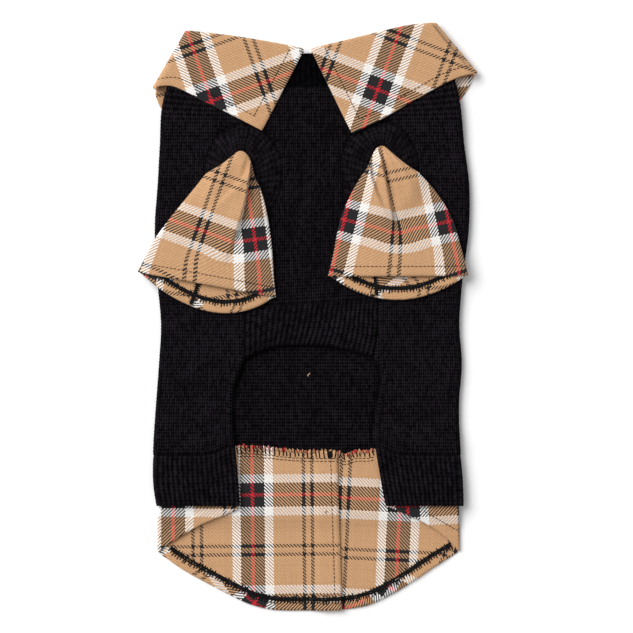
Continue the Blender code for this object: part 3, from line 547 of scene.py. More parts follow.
def tubes(name, material, lines, radius, sides=5, places=None):
    """One mesh of threads, each a line of points with the same radius, narrowed at its two ends.
    """
    cloth = Cloth()
    turn = np.arange(sides) * 2 * pi / sides
    for number, line in enumerate(lines):
        line = np.asarray(line, float)
        way = unit(np.gradient(line, axis=0))
        side = unit(np.cross(way, [0.0, 0.0, 1.0]))
        up = np.cross(side, way)
        thick = np.full(len(line), radius)
        thick[[0, -1]] *= 0.25
        ring = (side[:, None] * np.cos(turn)[None, :, None]
                + up[:, None] * np.sin(turn)[None, :, None])
        place = (0.0, 0.0) if places is None else places[number]
        cloth.grid(line[:, None] + ring * thick[:, None, None], place, closed=True)
    return cloth.make(name, [material])


# ---- knitted pieces

QUARTER = WALE / 4
HALF_COURSE = COURSE / 2
FOLD_ANGLES = np.linspace(pi / 2, -pi / 2, 16)[1:-1]
FOLD_ANGLES_COARSE = np.linspace(pi / 2, -pi / 2, 7)[1:-1]
FOLD_ANGLES_RIB = np.linspace(pi / 2, -pi / 2, 13)[1:-1]
RING_CLEAR = 0.5
RING_RIB_SHARE = 0.7
UNDER_COLUMNS = 24
PURL_HALF_WIDTH = 57
PURL_RAMP = 3
PLAIN_EDGE = 1.2
PURL_START = -95.0
BACK_DIP = 5.0
BACK_DIP_REACH = 12.0
TUCK = 0.8
TUCK_DEPTH = 0.5


def neck_bend(row_y):
    """Share of the neck seam's rise that a row of the body follows."""
    return ease(row_y, NECK_SEAM - NECK_BEND_REACH, NECK_SEAM)


def panel_edge(side, y, outward):
    """x of a body panel's edge at heights y, from the belly band up to the neck.

    side is -1 on the left and 1 on the right. outward is 1 for the back panel, which lies
    outside the rings and the side seams, and -1 for the chest panel, which lies between.
    """
    armhole = ARMHOLES[side]
    gap = side * outward * SEAM_GAP / 2
    half_height = RING_HALF_HEIGHT + RING_CLEAR
    reach = np.sqrt(np.clip(1 - ((y - armhole.y) / half_height) ** 2, 0, 1))
    at_ring = armhole.x + side * outward * (RING_HALF_WIDTH + RING_CLEAR) * reach
    seam = read(SIDE_SEAMS, y, SIDE_NAME[side]) + gap
    top = armhole.y + half_height
    up = (y - top) / (NECK_SEAM - top)
    shoulder = armhole.x + (side * SHOULDER_TOP - armhole.x) * up + gap
    x = np.where(y < armhole.y - half_height, seam, at_ring)
    return np.where(y > top, shoulder, x)


def wrap_edge(side, y):
    """x of a side wrap's free edge beside the cut-out, and of its seam above it."""
    cutout = read(CUTOUT_EDGE, y, SIDE_NAME[side])
    return np.where(y < CUTOUT_TOP, cutout, panel_edge(side, y, 1))


Fold = namedtuple("Fold", "outline start low top")


def side_fold(side, y):
    """Outermost x, start on the front layer, and bottom and top heights of a side fold."""
    lift = NECK_SEAM_RISE * neck_bend(y)
    outline = read(BODY_SIDES, y + lift, SIDE_NAME[side])
    low = body_underside(y)
    start = outline - side * (body_top(outline - side * 4, y) - low) / 2
    return Fold(outline, start, low, body_top(start, y))


def fold_points(side, fold, angles, inset):
    """x, z and outward direction of the points round a side fold."""
    radius = (fold.top - fold.low) / 2
    x = fold.outline - side * radius + side * (radius - inset) * np.cos(angles)
    z = (fold.top + fold.low) / 2 + (radius - inset) * np.sin(angles)
    flat = np.ones_like(x)
    return x, z, side * np.cos(angles) * flat, np.sin(angles) * flat


def under_line(folds, columns):
    """x of the back layer's columns of points, between the two side folds."""
    start = folds[0].outline + (folds[0].top - folds[0].low) / 2
    end = folds[1].outline - (folds[1].top - folds[1].low) / 2
    return start + (end - start) * np.linspace(0, 1, columns)[None, :]


def round_body(left, back, right):
    """One grid round the body: the parts of the left side, the back, and the right side's."""
    return np.concatenate([*left, back, *(part[:, ::-1] for part in right[::-1])], axis=1)


def wale_columns(side, y, edge, fold_start):
    """x of a wrap's columns of points, four to a wale, from its free edge to its side fold.

    The wales run straight up beside the edge, which cuts across them, and follow the side
    fold beside it. The columns' numbers say which part of a wale each one is.
    """
    near, far = side * edge, side * fold_start
    first = int(np.floor(near.min() / QUARTER))
    last = int(np.round(far.mean() / QUARTER))
    number = np.arange(first, last + 1)
    share = (number - first) / (last - first)
    reach = number * QUARTER + share ** 2 * (far - last * QUARTER)
    return side * np.maximum(reach, near), number


def stitch_form(number, rows, seed):
    """Height and shift along the wale of stockinette stitches, rows by columns."""
    row = np.arange(rows)[:, None]
    part = number[None, :] % 4
    uneven = np.random.default_rng(seed).normal(0, STITCH_UNEVEN, (rows, len(number)))
    height = np.take(STITCH_HEIGHT, part) + uneven
    height = height - np.where((row % 2 == 1) & (part > 0), COURSE_GROOVE, 0)
    ends = ease(np.minimum(row, rows - 1 - row), 0, 3)
    return height * ends, np.take(STITCH_LEAN, part) * COURSE * ends


def stitch_places(across, rows):
    """Cloth coordinates that follow the stitches: across in mm, and one row per half course."""
    return points_of(across, np.arange(rows)[:, None] * HALF_COURSE)


def purl_form(number, rows):
    """Height of the purl side of stockinette: bumps that alternate like bricks."""
    row = np.arange(rows)[:, None]
    part = number[None, :] % 4
    bump = ((part == 0) & (row % 2 == 0)) | ((part == 2) & (row % 2 == 1))
    return PURL_HEIGHT * np.where(part % 2 == 1, 0.45, np.where(bump, 1.0, 0.0))


def rib_form(columns, rows, seed):
    """Height and shift along the rib of a 1x1 rib, rows by columns."""
    row = np.arange(rows)[:, None]
    part = np.arange(columns)[None, :] % 6
    uneven = np.random.default_rng(seed).normal(0, STITCH_UNEVEN, (rows, columns))
    height = np.take(RIB_HEIGHT, part) + uneven
    height = height - np.where((row % 2 == 1) & (part > 1) & (part < 5), RIB_GROOVE, 0)
    ends = ease(np.minimum(row, rows - 1 - row), -1, 2)
    lean = np.take(RIB_LEAN, part) * COURSE * ends
    return height * ends, lean, stitch_places(np.arange(columns) * WALE / 6, rows)


def rolled_edge(distance):
    """Height that a turned edge adds: a soft roll, down at the edge and at its stitches."""
    roll = ROLLED_RISE * np.sin(pi * np.clip(distance / ROLLED_EDGE, 0, 1))
    return roll - EDGE_DROP * dip(distance, 0.8) - 0.4 * dip(distance - ROLLED_EDGE - 0.5, 0.9)


def hem_bend(x, y):
    """Height of the wraps' points at nominal heights y, after the hem seam's rise."""
    return y + hem_lift(x) * ease(y, HEM_SEAM + 26, HEM_SEAM)


def close_shell(cloth, outside, inside, outer, inner, sides=None):
    """Join the ends of two faces, and their sides where places along them are given."""
    for end in (0, -1):
        cloth.join(outside[end], inside[end], along_line(outer[end]), along_line(inner[end]))
    for end in (0, -1):
        if sides:
            cloth.join(outside[:, end], inside[:, end], *sides)


def back_outer():
    """Outer face of the back panel: stitches on the wraps and side folds, plain below."""
    y = np.arange(HEM_SEAM + SEAM_GAP, NECK_SEAM, HALF_COURSE)
    y = np.append(y, NECK_SEAM)[:, None]
    sides, folds, across = [], [], []
    for side in SIDE_NAME:
        fold = side_fold(side, y)
        edge = wrap_edge(side, y)
        x, number = wale_columns(side, y, edge, fold.start)
        height, lean = stitch_form(number, len(y), 11 + side)
        from_edge = side * (x - edge)
        rolled = y < CUTOUT_TOP
        reach = np.where(rolled, ROLLED_EDGE, PLAIN_EDGE)
        fade = ease(from_edge, reach * 0.5, reach * 1.3)
        z = knit_top(x, y) + height * fade + rolled_edge(from_edge) * rolled
        wrap = points_of(x, hem_bend(x, y) + lean * fade, z)

        fold_x, fold_z, out_x, out_z = fold_points(side, fold, FOLD_ANGLES[None, :], 0)
        more = number[-1] + 1 + np.arange(len(FOLD_ANGLES))
        height, lean = stitch_form(more, len(y), 21 + side)
        fade = ease(fold_z - fold.low, 0.2, 2.2)
        turn = points_of(fold_x + out_x * height * fade, y + lean * fade,
                         fold_z + out_z * height * fade)
        sides.append((wrap, turn))
        folds.append(fold)
        across.append(np.concatenate([number, more]) * QUARTER)
    x = under_line(folds, UNDER_COLUMNS)
    under = points_of(x, y, folds[0].low)
    points = round_body(sides[0], under, sides[1])
    plain = np.zeros(points.shape[1] - 1, int)
    first = len(across[0])
    plain[first - 1:first + UNDER_COLUMNS] = 1
    points[..., 1] += neck_seam_lift(points[..., 0]) * neck_bend(y)
    width = (x[:, -1] - x[:, 0]).mean()
    across_under = across[0][-1] + QUARTER + width * np.linspace(0, 1, UNDER_COLUMNS)
    across = np.concatenate([across[0], across_under, across[1][::-1]])
    return points, stitch_places(across, len(y)), y[:, 0], plain


def back_inner():
    """Inner face of the back panel: purl stitches where the cut-out shows it."""
    fine = np.arange(PURL_START, -24, HALF_COURSE)
    y = np.concatenate([[HEM_SEAM + SEAM_GAP], fine, np.linspace(-22, NECK_SEAM, 24)])[:, None]
    number = np.arange(round(-56 / QUARTER), round(58 / QUARTER))
    beside = [[-84, -72, -62], [64, 74, 86]]
    x = np.concatenate([beside[0], number * QUARTER, beside[1]])[None, :] + 0 * y
    sides, folds = [], []
    for side in SIDE_NAME:
        fold = side_fold(side, y)
        edge = wrap_edge(side, y)
        wrap_x = edge + (fold.start - edge) * np.linspace(0, 1, 8)[None, :]
        z = body_top(wrap_x, y) - KNIT_WALL
        wrap = points_of(wrap_x, hem_bend(wrap_x, y), z)
        fold_x, fold_z, _, _ = fold_points(side, fold, FOLD_ANGLES_COARSE[None, :], KNIT_WALL)
        turn = points_of(fold_x, y, fold_z)
        sides.append((wrap, turn))
        folds.append(fold)
    height = np.zeros_like(x)
    height[1:1 + len(fine), 3:-3] = purl_form(number, len(fine))
    height *= ease(np.abs(x), PURL_HALF_WIDTH, PURL_HALF_WIDTH - PURL_RAMP)
    seam = INNER_SEAM.depth * dip(x - INNER_SEAM_X, INNER_SEAM.width)
    double = 0.35 * ease(x, INNER_SEAM_X, INNER_SEAM_X + 2)
    fade = ease(y, -24, -36)
    within = np.minimum(x - read(CUTOUT_EDGE, y, "left"), read(CUTOUT_EDGE, y, "right") - x)
    within = np.minimum(within, read(BELLY_ARCH, x, "y") - y)
    bed = EDGE_BED * dip(within - 0.7, 2.0) * ease(y, TAIL_TOP - 8, TAIL_TOP)
    height = height * (1 - 0.7 * dip(within - 0.6, 1.5))
    z = folds[0].low + KNIT_WALL + height + (double - seam) * fade - bed
    points = round_body(sides[0], points_of(x, y, z), sides[1])
    points[..., 1] += neck_seam_lift(points[..., 0]) * neck_bend(y)
    return points, y[:, 0]


def add_back_panel(knit, plain_knit, purl_knit):
    outer, places, outer_y, plain = back_outer()
    inner, inner_y = back_inner()
    cloth = Cloth()
    outside = cloth.grid(outer, places, slot=plain[None, :])
    inside = cloth.grid(inner, inner[..., :2] + [0, -PURL_START], slot=2)
    close_shell(cloth, outside, inside, outer, inner, (outer_y, inner_y))
    return cloth.make("back_panel_knit", [knit, plain_knit, purl_knit])


def add_chest_panel(knit):
    low = BELLY_TOP_LEFT + SEAM_GAP
    tilt = BELLY_TOP_RIGHT - BELLY_TOP_LEFT

    def place(x, row_y, wall):
        """Points of a row, which follows the belly band below and the neck above."""
        share = (x - SIDE_SEAMS[0].left) / (SIDE_SEAMS[-1].right - SIDE_SEAMS[0].left)
        y = row_y + tilt * share * ease(row_y, 70, low)
        y = y + neck_seam_lift(x) * neck_bend(row_y)
        return points_of(x, y, knit_top(x, y) - wall)

    def edges(row_y):
        right_y = row_y + tilt * ease(row_y, 70, low)
        return panel_edge(-1, row_y, -1), panel_edge(1, right_y, -1)

    row_y = np.append(np.arange(low, NECK_SEAM, HALF_COURSE), NECK_SEAM)[:, None]
    left, right = edges(row_y)
    number = np.arange(int(left.min() / QUARTER) - 1, int(right.max() / QUARTER) + 2)
    x = np.clip(number[None, :] * QUARTER, left - TUCK, right + TUCK)
    outer = place(x, row_y, 0)
    height, lean = stitch_form(number, len(row_y), 5)
    fade = ease(x - left, 0.3, 1.5) * ease(right - x, 0.3, 1.5)
    tuck = TUCK_DEPTH * np.maximum(ease(left - x, -0.2, TUCK), ease(x - right, -0.2, TUCK))
    outer[..., 2] += height * fade - tuck
    outer[..., 1] += lean * fade

    inner_row = np.linspace(low, NECK_SEAM, 30)[:, None]
    left, right = edges(inner_row)
    inner = place(left + (right - left) * np.linspace(0, 1, 12)[None, :], inner_row, KNIT_WALL)
    cloth = Cloth()
    outside = cloth.grid(outer, stitch_places(number * QUARTER, len(row_y)))
    inside = cloth.grid(inner, inner[..., :2])
    close_shell(cloth, outside, inside, outer, inner, (row_y[:, 0], inner_row[:, 0]))
    return cloth.make("chest_panel_knit", [knit])


def rib_shell(name, materials, base, directions, form, inner, closed=False):
    """Shell of a ribbed band from its plain outer face, the way out and the ribs' form.

    The last row is tucked a little under the knit that the band is sewn to.
    """
    height, lean, places = form
    way = unit(np.gradient(base, axis=0))
    height[-1], lean[-1] = -TUCK_DEPTH, TUCK
    outer = base + directions * height[..., None] + way * lean[..., None]
    cloth = Cloth()
    outside = cloth.grid(outer, places, closed)
    inside = cloth.grid(inner, inner[..., :2], closed)
    sides = [np.linspace(0, 1, len(face)) for face in (outside, inside)]
    if closed:
        sides = None
        outside, inside, base, inner = (np.concatenate([part, part[:, :1]], axis=1)
                                        for part in (outside, inside, base, inner))
    close_shell(cloth, outside, inside, base, inner, sides)
    return cloth.make(name, materials)


def add_belly_rib(rib):
    def place(columns, rows, wall):
        across = np.linspace(1, 0, columns)[None, :]
        part = np.linspace(0, 1, rows)[:, None]
        side_y = BELLY_ARCH[0].y + part * (BELLY_TOP_RIGHT - BELLY_ARCH[0].y)
        left = read(SIDE_SEAMS, side_y, "left") + SEAM_GAP / 2
        right = read(SIDE_SEAMS, side_y, "right") - SEAM_GAP / 2
        x = left + (right - left) * across + BELLY_LEAN * part * np.sin(pi * across)
        low = read(BELLY_ARCH, x, "y")
        high = BELLY_TOP_LEFT + (BELLY_TOP_RIGHT - BELLY_TOP_LEFT) * across
        y = low + (high - low) * part
        return points_of(x, y, knit_top(x, y) + rolled_edge(y - low) - wall)

    columns, rows = 6 * BELLY_RIBS + 1, 31
    base = place(columns, rows, 0)
    form = rib_form(columns, rows, 7)
    for end, outward in ((0, 1), (-1, -1)):
        base[:, end, 0] += outward * TUCK
        form[0][:, end] = -TUCK_DEPTH
    up = np.broadcast_to([0.0, 0.0, 1.0], base.shape)
    return rib_shell("belly_rib_knit", [rib], base, up, form, place(14, 8, RIB_WALL))


def band_section(y, edges, folds, counts, angles, inset):
    """Points of a band round the body at heights y: wrap, fold, back, fold and wrap."""
    wrap_columns, back_columns = counts
    share = np.linspace(0, 1, wrap_columns)[None, :]
    parts, ways = [], []
    for side, edge, fold in zip(SIDE_NAME, edges, folds):
        x = edge + (fold.start - edge) * share
        z = knit_top(x, y) - inset
        fold_x, fold_z, out_x, out_z = fold_points(side, fold, angles[None, :], inset)
        lifted = y + hem_lift(x) * ease(y, HEM_EDGE, HEM_SEAM)
        wrap = points_of(x, lifted, z)
        turn = points_of(fold_x, y, fold_z)
        up = np.broadcast_to([0.0, 0.0, 1.0], wrap.shape)
        parts.append((wrap, turn))
        ways.append((up, points_of(out_x, 0, out_z)))
    x = under_line(folds, back_columns)
    back = points_of(x, y, folds[0].low + inset)
    down = np.broadcast_to([0.0, 0.0, -1.0], back.shape)
    return round_body(parts[0], back, parts[1]), round_body(ways[0], down, ways[1])


def add_hem_rib(rib):
    def place(y, wrap_columns, back_columns, angles, inset):
        edges = [read(CUTOUT_EDGE, y, column) for column in SIDE_NAME.values()]
        folds = [side_fold(side, y) for side in SIDE_NAME]
        return band_section(y, edges, folds, (wrap_columns, back_columns), angles, inset)

    rows, wrap, back = 30, 6 * HEM_RIBS + 1, 6 * HEM_BACK_RIBS + 1
    base, way = place(np.linspace(HEM_EDGE, HEM_SEAM, rows)[:, None], wrap, back,
                      FOLD_ANGLES_RIB, 0)
    height, lean, places = rib_form(base.shape[1], rows, 9)
    above = base[..., 2] + way[..., 2] * height
    height = np.where(above < 0, height + above, height)
    under = slice(wrap + len(FOLD_ANGLES_RIB), wrap + len(FOLD_ANGLES_RIB) + back)
    height[:, under] = np.minimum(height[:, under] - max(RIB_HEIGHT), 0) * 0.7
    inner, _ = place(np.linspace(HEM_EDGE, HEM_SEAM, 6)[:, None], 8, 14,
                     FOLD_ANGLES_COARSE, RIB_WALL)
    return rib_shell("hem_rib_knit", [rib], base, way, (height, lean, places), inner)


def back_dip(x):
    """How far the back of the neck dips behind the front at its middle."""
    return BACK_DIP * dip(x, BACK_DIP_REACH)


def add_neck_rib(rib):
    middle = (NECK_FRONT_TOP + BACK_LIFT) / 2
    full = (NECK_FRONT_TOP - BACK_LIFT) / 2
    seam_y = NECK_SEAM + NECK_SEAM_RISE
    seam_left, seam_right = (float(read(BODY_SIDES, seam_y, name))
                             for name in SIDE_NAME.values())

    def place(front_columns, back_columns, rows, angles, inset):
        part = np.linspace(0, 1, rows)[:, None]
        left = seam_left + part * (NECK_TOP_LEFT - seam_left)
        right = seam_right + part * (NECK_TOP_RIGHT - seam_right)
        share = np.linspace(0, 1, front_columns)[None, :]
        back = np.linspace(0, 1, back_columns)[None, :]
        back_up = angles[::-1]
        x = np.concatenate([
            right - full + (left - right + 2 * full) * share,
            left + full - (full - inset) * np.cos(angles)[None, :],
            left + full + (right - left - 2 * full) * back,
            right - full + (full - inset) * np.cos(back_up)[None, :]], axis=1)
        lift = np.concatenate([np.ones(front_columns), np.sin(angles),
                               -np.ones(back_columns), np.sin(back_up)])[None, :]
        out = np.concatenate([np.zeros(front_columns), -np.cos(angles),
                              np.zeros(back_columns), np.cos(back_up)])[None, :]
        seam = NECK_SEAM + neck_seam_lift(x)
        top = read(ROLL_LINE, x, "y") - ROLL_RADIUS - STAND - NECK_GAP
        top = top - back_dip(x) * (lift < 0)
        z = middle + (full - inset) * lift
        points = points_of(x, seam + part * (top - seam), z)
        return points[::-1], points_of(out, 0 * x, lift)

    front, rows = 6 * NECK_RIBS + 1, 26
    base, way = place(front, 60, rows, FOLD_ANGLES_RIB, 0)
    height, lean, places = rib_form(base.shape[1], rows, 3)
    height[:, front + len(FOLD_ANGLES_RIB):] = 0
    inner, _ = place(30, 16, 6, FOLD_ANGLES_COARSE, KNIT_WALL)
    return rib_shell("neck_rib_knit", [rib], base, way, (height, lean, places), inner,
                     closed=True)


def add_armhole_rib(side, rib, seed):
    armhole = ARMHOLES[side]

    def place(columns, rows, inset):
        angle = np.linspace(0, 2 * pi, columns, endpoint=False)[None, :]
        part = np.linspace(0, 1, rows)[:, None]
        x_mouth = armhole.mouth_x + MOUTH_HALF_WIDTH * np.cos(angle)
        y_mouth = armhole.mouth_y + MOUTH_HALF_HEIGHT * np.sin(angle)
        x = x_mouth + part * (armhole.x + RING_HALF_WIDTH * np.cos(angle) - x_mouth)
        y = y_mouth + part * (armhole.y + RING_HALF_HEIGHT * np.sin(angle) - y_mouth)
        return points_of(x, y, knit_top(x, y) + ring_rise(armhole, x, y) - inset)

    columns, rows = 6 * RING_RIBS, 15
    base = place(columns, rows, 0)
    height, lean, places = rib_form(columns, rows, seed)
    row = np.arange(rows)[:, None]
    height *= RING_RIB_SHARE * ease(row, rows, rows - 5) * ease(row, 0, 6)
    height *= np.repeat(np.random.default_rng(seed).uniform(0.2, 1.2, RING_RIBS), 6)
    way = grid_normals(base, closed=True)
    way *= np.sign(way[..., 2:])
    name = f"armhole_rib_{SIDE_NAME[side]}_knit"
    return rib_shell(name, [rib], base, way, (height, lean, places), place(40, 5, RIB_WALL),
                     closed=True)


# ---- woven pieces

COLLAR_FRONT_COLUMNS = 34
COLLAR_BACK_COLUMNS = 46
COLLAR_ROLL_ROWS = 11
COLLAR_LEAF = np.concatenate([np.linspace(0, 0.88, 21)[1:], np.linspace(0.88, 1, 7)[1:]])
COLLAR_GRAIN_LEFT = 19.5
COLLAR_GRAIN_RIGHT = -20.5
COLLAR_PLACE = (-58.0, 168.0)
COLLAR_PLACE_RIGHT = (41.0, 176.0)
BACK_HALF = COLLAR_BACK_COLUMNS // 2
BACK_ALONG = np.concatenate([np.linspace(0.03, 0.4985, BACK_HALF),
                             np.linspace(0.5015, 0.97, BACK_HALF)])

SLEEVE_FRONT_COLUMNS = 65
SLEEVE_BACK_COLUMNS = 37
SLEEVE_FOLD_COLUMNS = 5
SLEEVE_ROWS = np.concatenate([np.linspace(-1, 0, 7), np.linspace(0, 5.25, 40)[1:]])
CUFF_ROWS = np.array([5.3, 5.42, 5.56, 5.7, 5.85, 6.0])
Grain = namedtuple("Grain", "left right x y across along")
Sleeve = namedtuple("Sleeve", "armhole sections pleats grain seam_slope")
SLEEVES = {
    -1: Sleeve(ARMHOLE_LEFT, SLEEVE_LEFT, PLEATS_LEFT,
               Grain(-19.6, 8.0, -50.7, 50.8, 0.0, 63.6), 0.35),
    1: Sleeve(ARMHOLE_RIGHT, SLEEVE_RIGHT, PLEATS_RIGHT,
              Grain(-14.0, 12.0, 62.3, 50.4, 24.6, 56.6), -0.1),
}
GRAIN_FAN = 0.5
PLEAT_RIDGE = 2.2
HEAD_PUFF = 1.6
UNDERARM_COLUMN = 23
LEAST_HOLLOW = 0.1

TAIL_COLUMNS = 54
FLAP_COLUMNS = 24
TAIL_BAND_ROWS = np.array([0, 1, 2.5, 4.0, 5.5, 7.0, 8.0, 8.6])
TAIL_BAND = 8.3
TAIL_ROWS = 44
TAIL_SAG = 3.4
SAG_LEFT = (-46, 0)
SAG_RIGHT = (60, 40)
TOP_NOTCH_X = 27
TOP_NOTCH = Trough(2.4, 4.5)
PLACKET_LEAN = 2.8
PLACKET_STITCH = 4.4
PLACKET_FACING = 0.45
TailHalf = namedtuple("TailHalf", "flap_x flap_hem grain shift")
TAIL_HALVES = {
    -1: TailHalf(TAIL_FLAP_LEFT, FLAP_HEM_LEFT, 0.6, (25.2, 33.3)),
    1: TailHalf(TAIL_FLAP_RIGHT, FLAP_HEM_RIGHT, -2.6, (-7.4, 34.4)),
}


def leaf_top(x, y):
    """Outer face of a collar leaf that lies on the front."""
    over_body = covered(x, y) + LAYER_GAP + COLLAR_WALL
    over_neck = ease(y, NECK_SEAM - LEAF_TOP_RAMP, NECK_SEAM)
    return over_body + (LEAF_TOP - over_body) * over_neck


def roll_start(x):
    """y of the line below the collar's roll, where its stand and its leaves start."""
    return float(read(ROLL_LINE, x, "y")) - ROLL_RADIUS


def leaf_edge(table, along):
    """A place in plan along a leaf's outer edge."""
    return np.array([float(read(table, along, name)) for name in ("edge_x", "edge_y")])


def collar_columns():
    """Stand, leaf start, leaf edge and kind of each column, from the right leaf's front
    edge round the back to the left leaf's. The kind is 2 and 1 on the front and the back of
    the right half, and negative on the left half."""
    stand_front, stand_back = LEAF_TOP - 2 * ROLL_RADIUS, 2 * ROLL_RADIUS - LAYER_GAP
    stand_left, stand_right = NECK_TOP_LEFT + STAND_INSET, NECK_TOP_RIGHT - STAND_INSET

    def flat_column(table, along, stand_z, leaf_z, kind):
        x = float(read(table, along, "roll_x"))
        stand_x = float(np.clip(x, stand_left, stand_right))
        drop = float(back_dip(x)) if abs(kind) == 1 else 0
        stand = np.array([stand_x, roll_start(stand_x) - drop, stand_z])
        start = np.array([x, roll_start(x) - drop, leaf_z])
        return stand, start, np.array([*leaf_edge(table, along), 0]), kind

    def fold_column(corner, stand_x, outward, angle):
        outer = np.array([corner.roll_x, roll_start(corner.roll_x), 0])
        lower = np.array([corner.edge_x, corner.edge_y, 0])
        way = unit(lower - outer)
        out = np.array([outward * abs(way[1]), abs(way[0]), 0])
        reach = COLLAR_FOLD * (np.cos(angle) - 1)
        height = np.array([0, 0, COLLAR_FOLD * (1 + np.sin(angle))])
        radius = (stand_front - stand_back) / 2
        stand = np.array([stand_x + outward * radius * np.cos(angle), roll_start(stand_x),
                          stand_back + radius * (1 + np.sin(angle))])
        kind = outward * (2 if angle > 0 else 1)
        return stand, outer + out * reach + height, lower + out * reach + height, kind

    angles = np.radians(np.linspace(72, -72, 13))
    columns = [flat_column(LEAF_RIGHT, along, stand_front, LEAF_TOP, 2)
               for along in np.linspace(0, 0.965, COLLAR_FRONT_COLUMNS)]
    columns += [fold_column(LEAF_RIGHT[-1], stand_right, 1, angle) for angle in angles]
    columns += [flat_column(LEAF_BACK, along, stand_back, 0, 1 if along < 0.5 else -1)
                for along in BACK_ALONG]
    columns += [fold_column(LEAF_LEFT[0], stand_left, -1, angle) for angle in angles[::-1]]
    columns += [flat_column(LEAF_LEFT, along, stand_front, LEAF_TOP, -2)
                for along in np.linspace(0.035, 1, COLLAR_FRONT_COLUMNS)]
    return columns


def collar_grid():
    """Outer face of the collar, rows from the stand to the leaf's edge, and the kinds."""
    turn = np.linspace(0, pi, COLLAR_ROLL_ROWS)[:, None]
    bulge = np.array([0, ROLL_RADIUS, 0])
    points, kinds = [], []
    fold_share = len(COLLAR_LEAF) + COLLAR_ROLL_ROWS + 1
    for number, (stand, start, edge, kind) in enumerate(collar_columns()):
        middle = (stand + start) / 2
        over = middle + (stand - middle) * np.cos(turn) + bulge * np.sin(turn)
        leaf = start + (edge - start) * COLLAR_LEAF[:, None]
        on_front = abs(kind) == 2 and edge[2] == 0
        if on_front:
            wave = 0.28 * noise_wave(leaf[:, 0] * 3.1 + leaf[:, 1], 4) * COLLAR_LEAF ** 2
            leaf[:, 2] = leaf_top(leaf[:, 0], leaf[:, 1]) + np.maximum(wave, -0.1)
        points.append(np.concatenate([[stand - np.array([0, STAND, 0])], over, leaf]))
        kinds.append(np.full(fold_share, kind))
    return np.array(points).transpose(1, 0, 2), np.array(kinds).T


def collar_places(points, kinds):
    """Cloth coordinates of the collar, whose grain runs on round its two side folds. Its
    halves are mirrored, and meet at a seam at the centre back."""
    plan = points[..., :2]
    left, right = LEAF_LEFT[0], LEAF_RIGHT[-1]
    fold_left = ((left.roll_x, ROLL_LINE[0].y), (left.edge_x, left.edge_y))
    fold_right = ((right.roll_x, ROLL_LINE[-1].y), (right.edge_x, right.edge_y))
    kinds = kinds[..., None]
    plan = np.where(kinds == -1, mirror(plan, *fold_left), plan)
    plan = np.where(kinds == 1, mirror(plan, *fold_right), plan)
    on_left = turned(plan, COLLAR_GRAIN_LEFT, COLLAR_PLACE)
    on_right = turned(plan, COLLAR_GRAIN_RIGHT, COLLAR_PLACE_RIGHT) * (-1, 1)
    return np.where(kinds > 0, on_right, on_left)


def add_collar(check):
    outer, kinds = collar_grid()
    inner = outer - grid_normals(outer) * COLLAR_WALL
    places = collar_places(outer, kinds)
    return thin_shell("collar_cloth", [check], outer, inner, places, places)


def sleeve_rest(x, y):
    """Outer face of a sleeve's under layer."""
    return covered(x, y) + SLEEVE_LIFT


def fold_around(edge, inward, inset, heights):
    """Side fold of a sleeve's section, from the first height to the last one."""
    radius = abs(heights[0] - heights[1]) / 2
    turn = np.linspace(pi / 2, -pi / 2, SLEEVE_FOLD_COLUMNS + 2)[1:-1]
    turn = turn if heights[0] > heights[1] else turn[::-1]
    reach = SLEEVE_FOLD - (SLEEVE_FOLD - inset) * np.cos(turn)
    plan = edge + inward * reach[:, None]
    return np.column_stack([plan, sum(heights) / 2 + radius * np.sin(turn)])


def gathers(part, row):
    """Small uneven folds that fan out from a sleeve's head and from its pleats."""
    fan = np.sin(part * 27 + 1.3 * np.sin(part * 9)) * ease(row, 2.8, 0.2)
    return 0.4 * fan * np.sin(pi * part)


def pleat_forms(part, row, pleats):
    """Ridges of the pleats, each with a step down from its edge, and the hollows below."""
    ridges, hollows = 0 * part, 0 * part
    for pleat in pleats:
        fade = ease(row, pleat.end_row + 1.5, pleat.end_row - 1.5)
        at = (part - pleat_place(pleat, row)) / pleat.width
        beyond = ease(at, -0.15, 0.15)
        ridges = ridges + PLEAT_RIDGE * fade * np.exp(-(at / 1.5) ** 2) * (1 - beyond)
        hollows = hollows + pleat.depth * fade * np.exp(-(at / 1.8) ** 2) * beyond
    return ridges, hollows


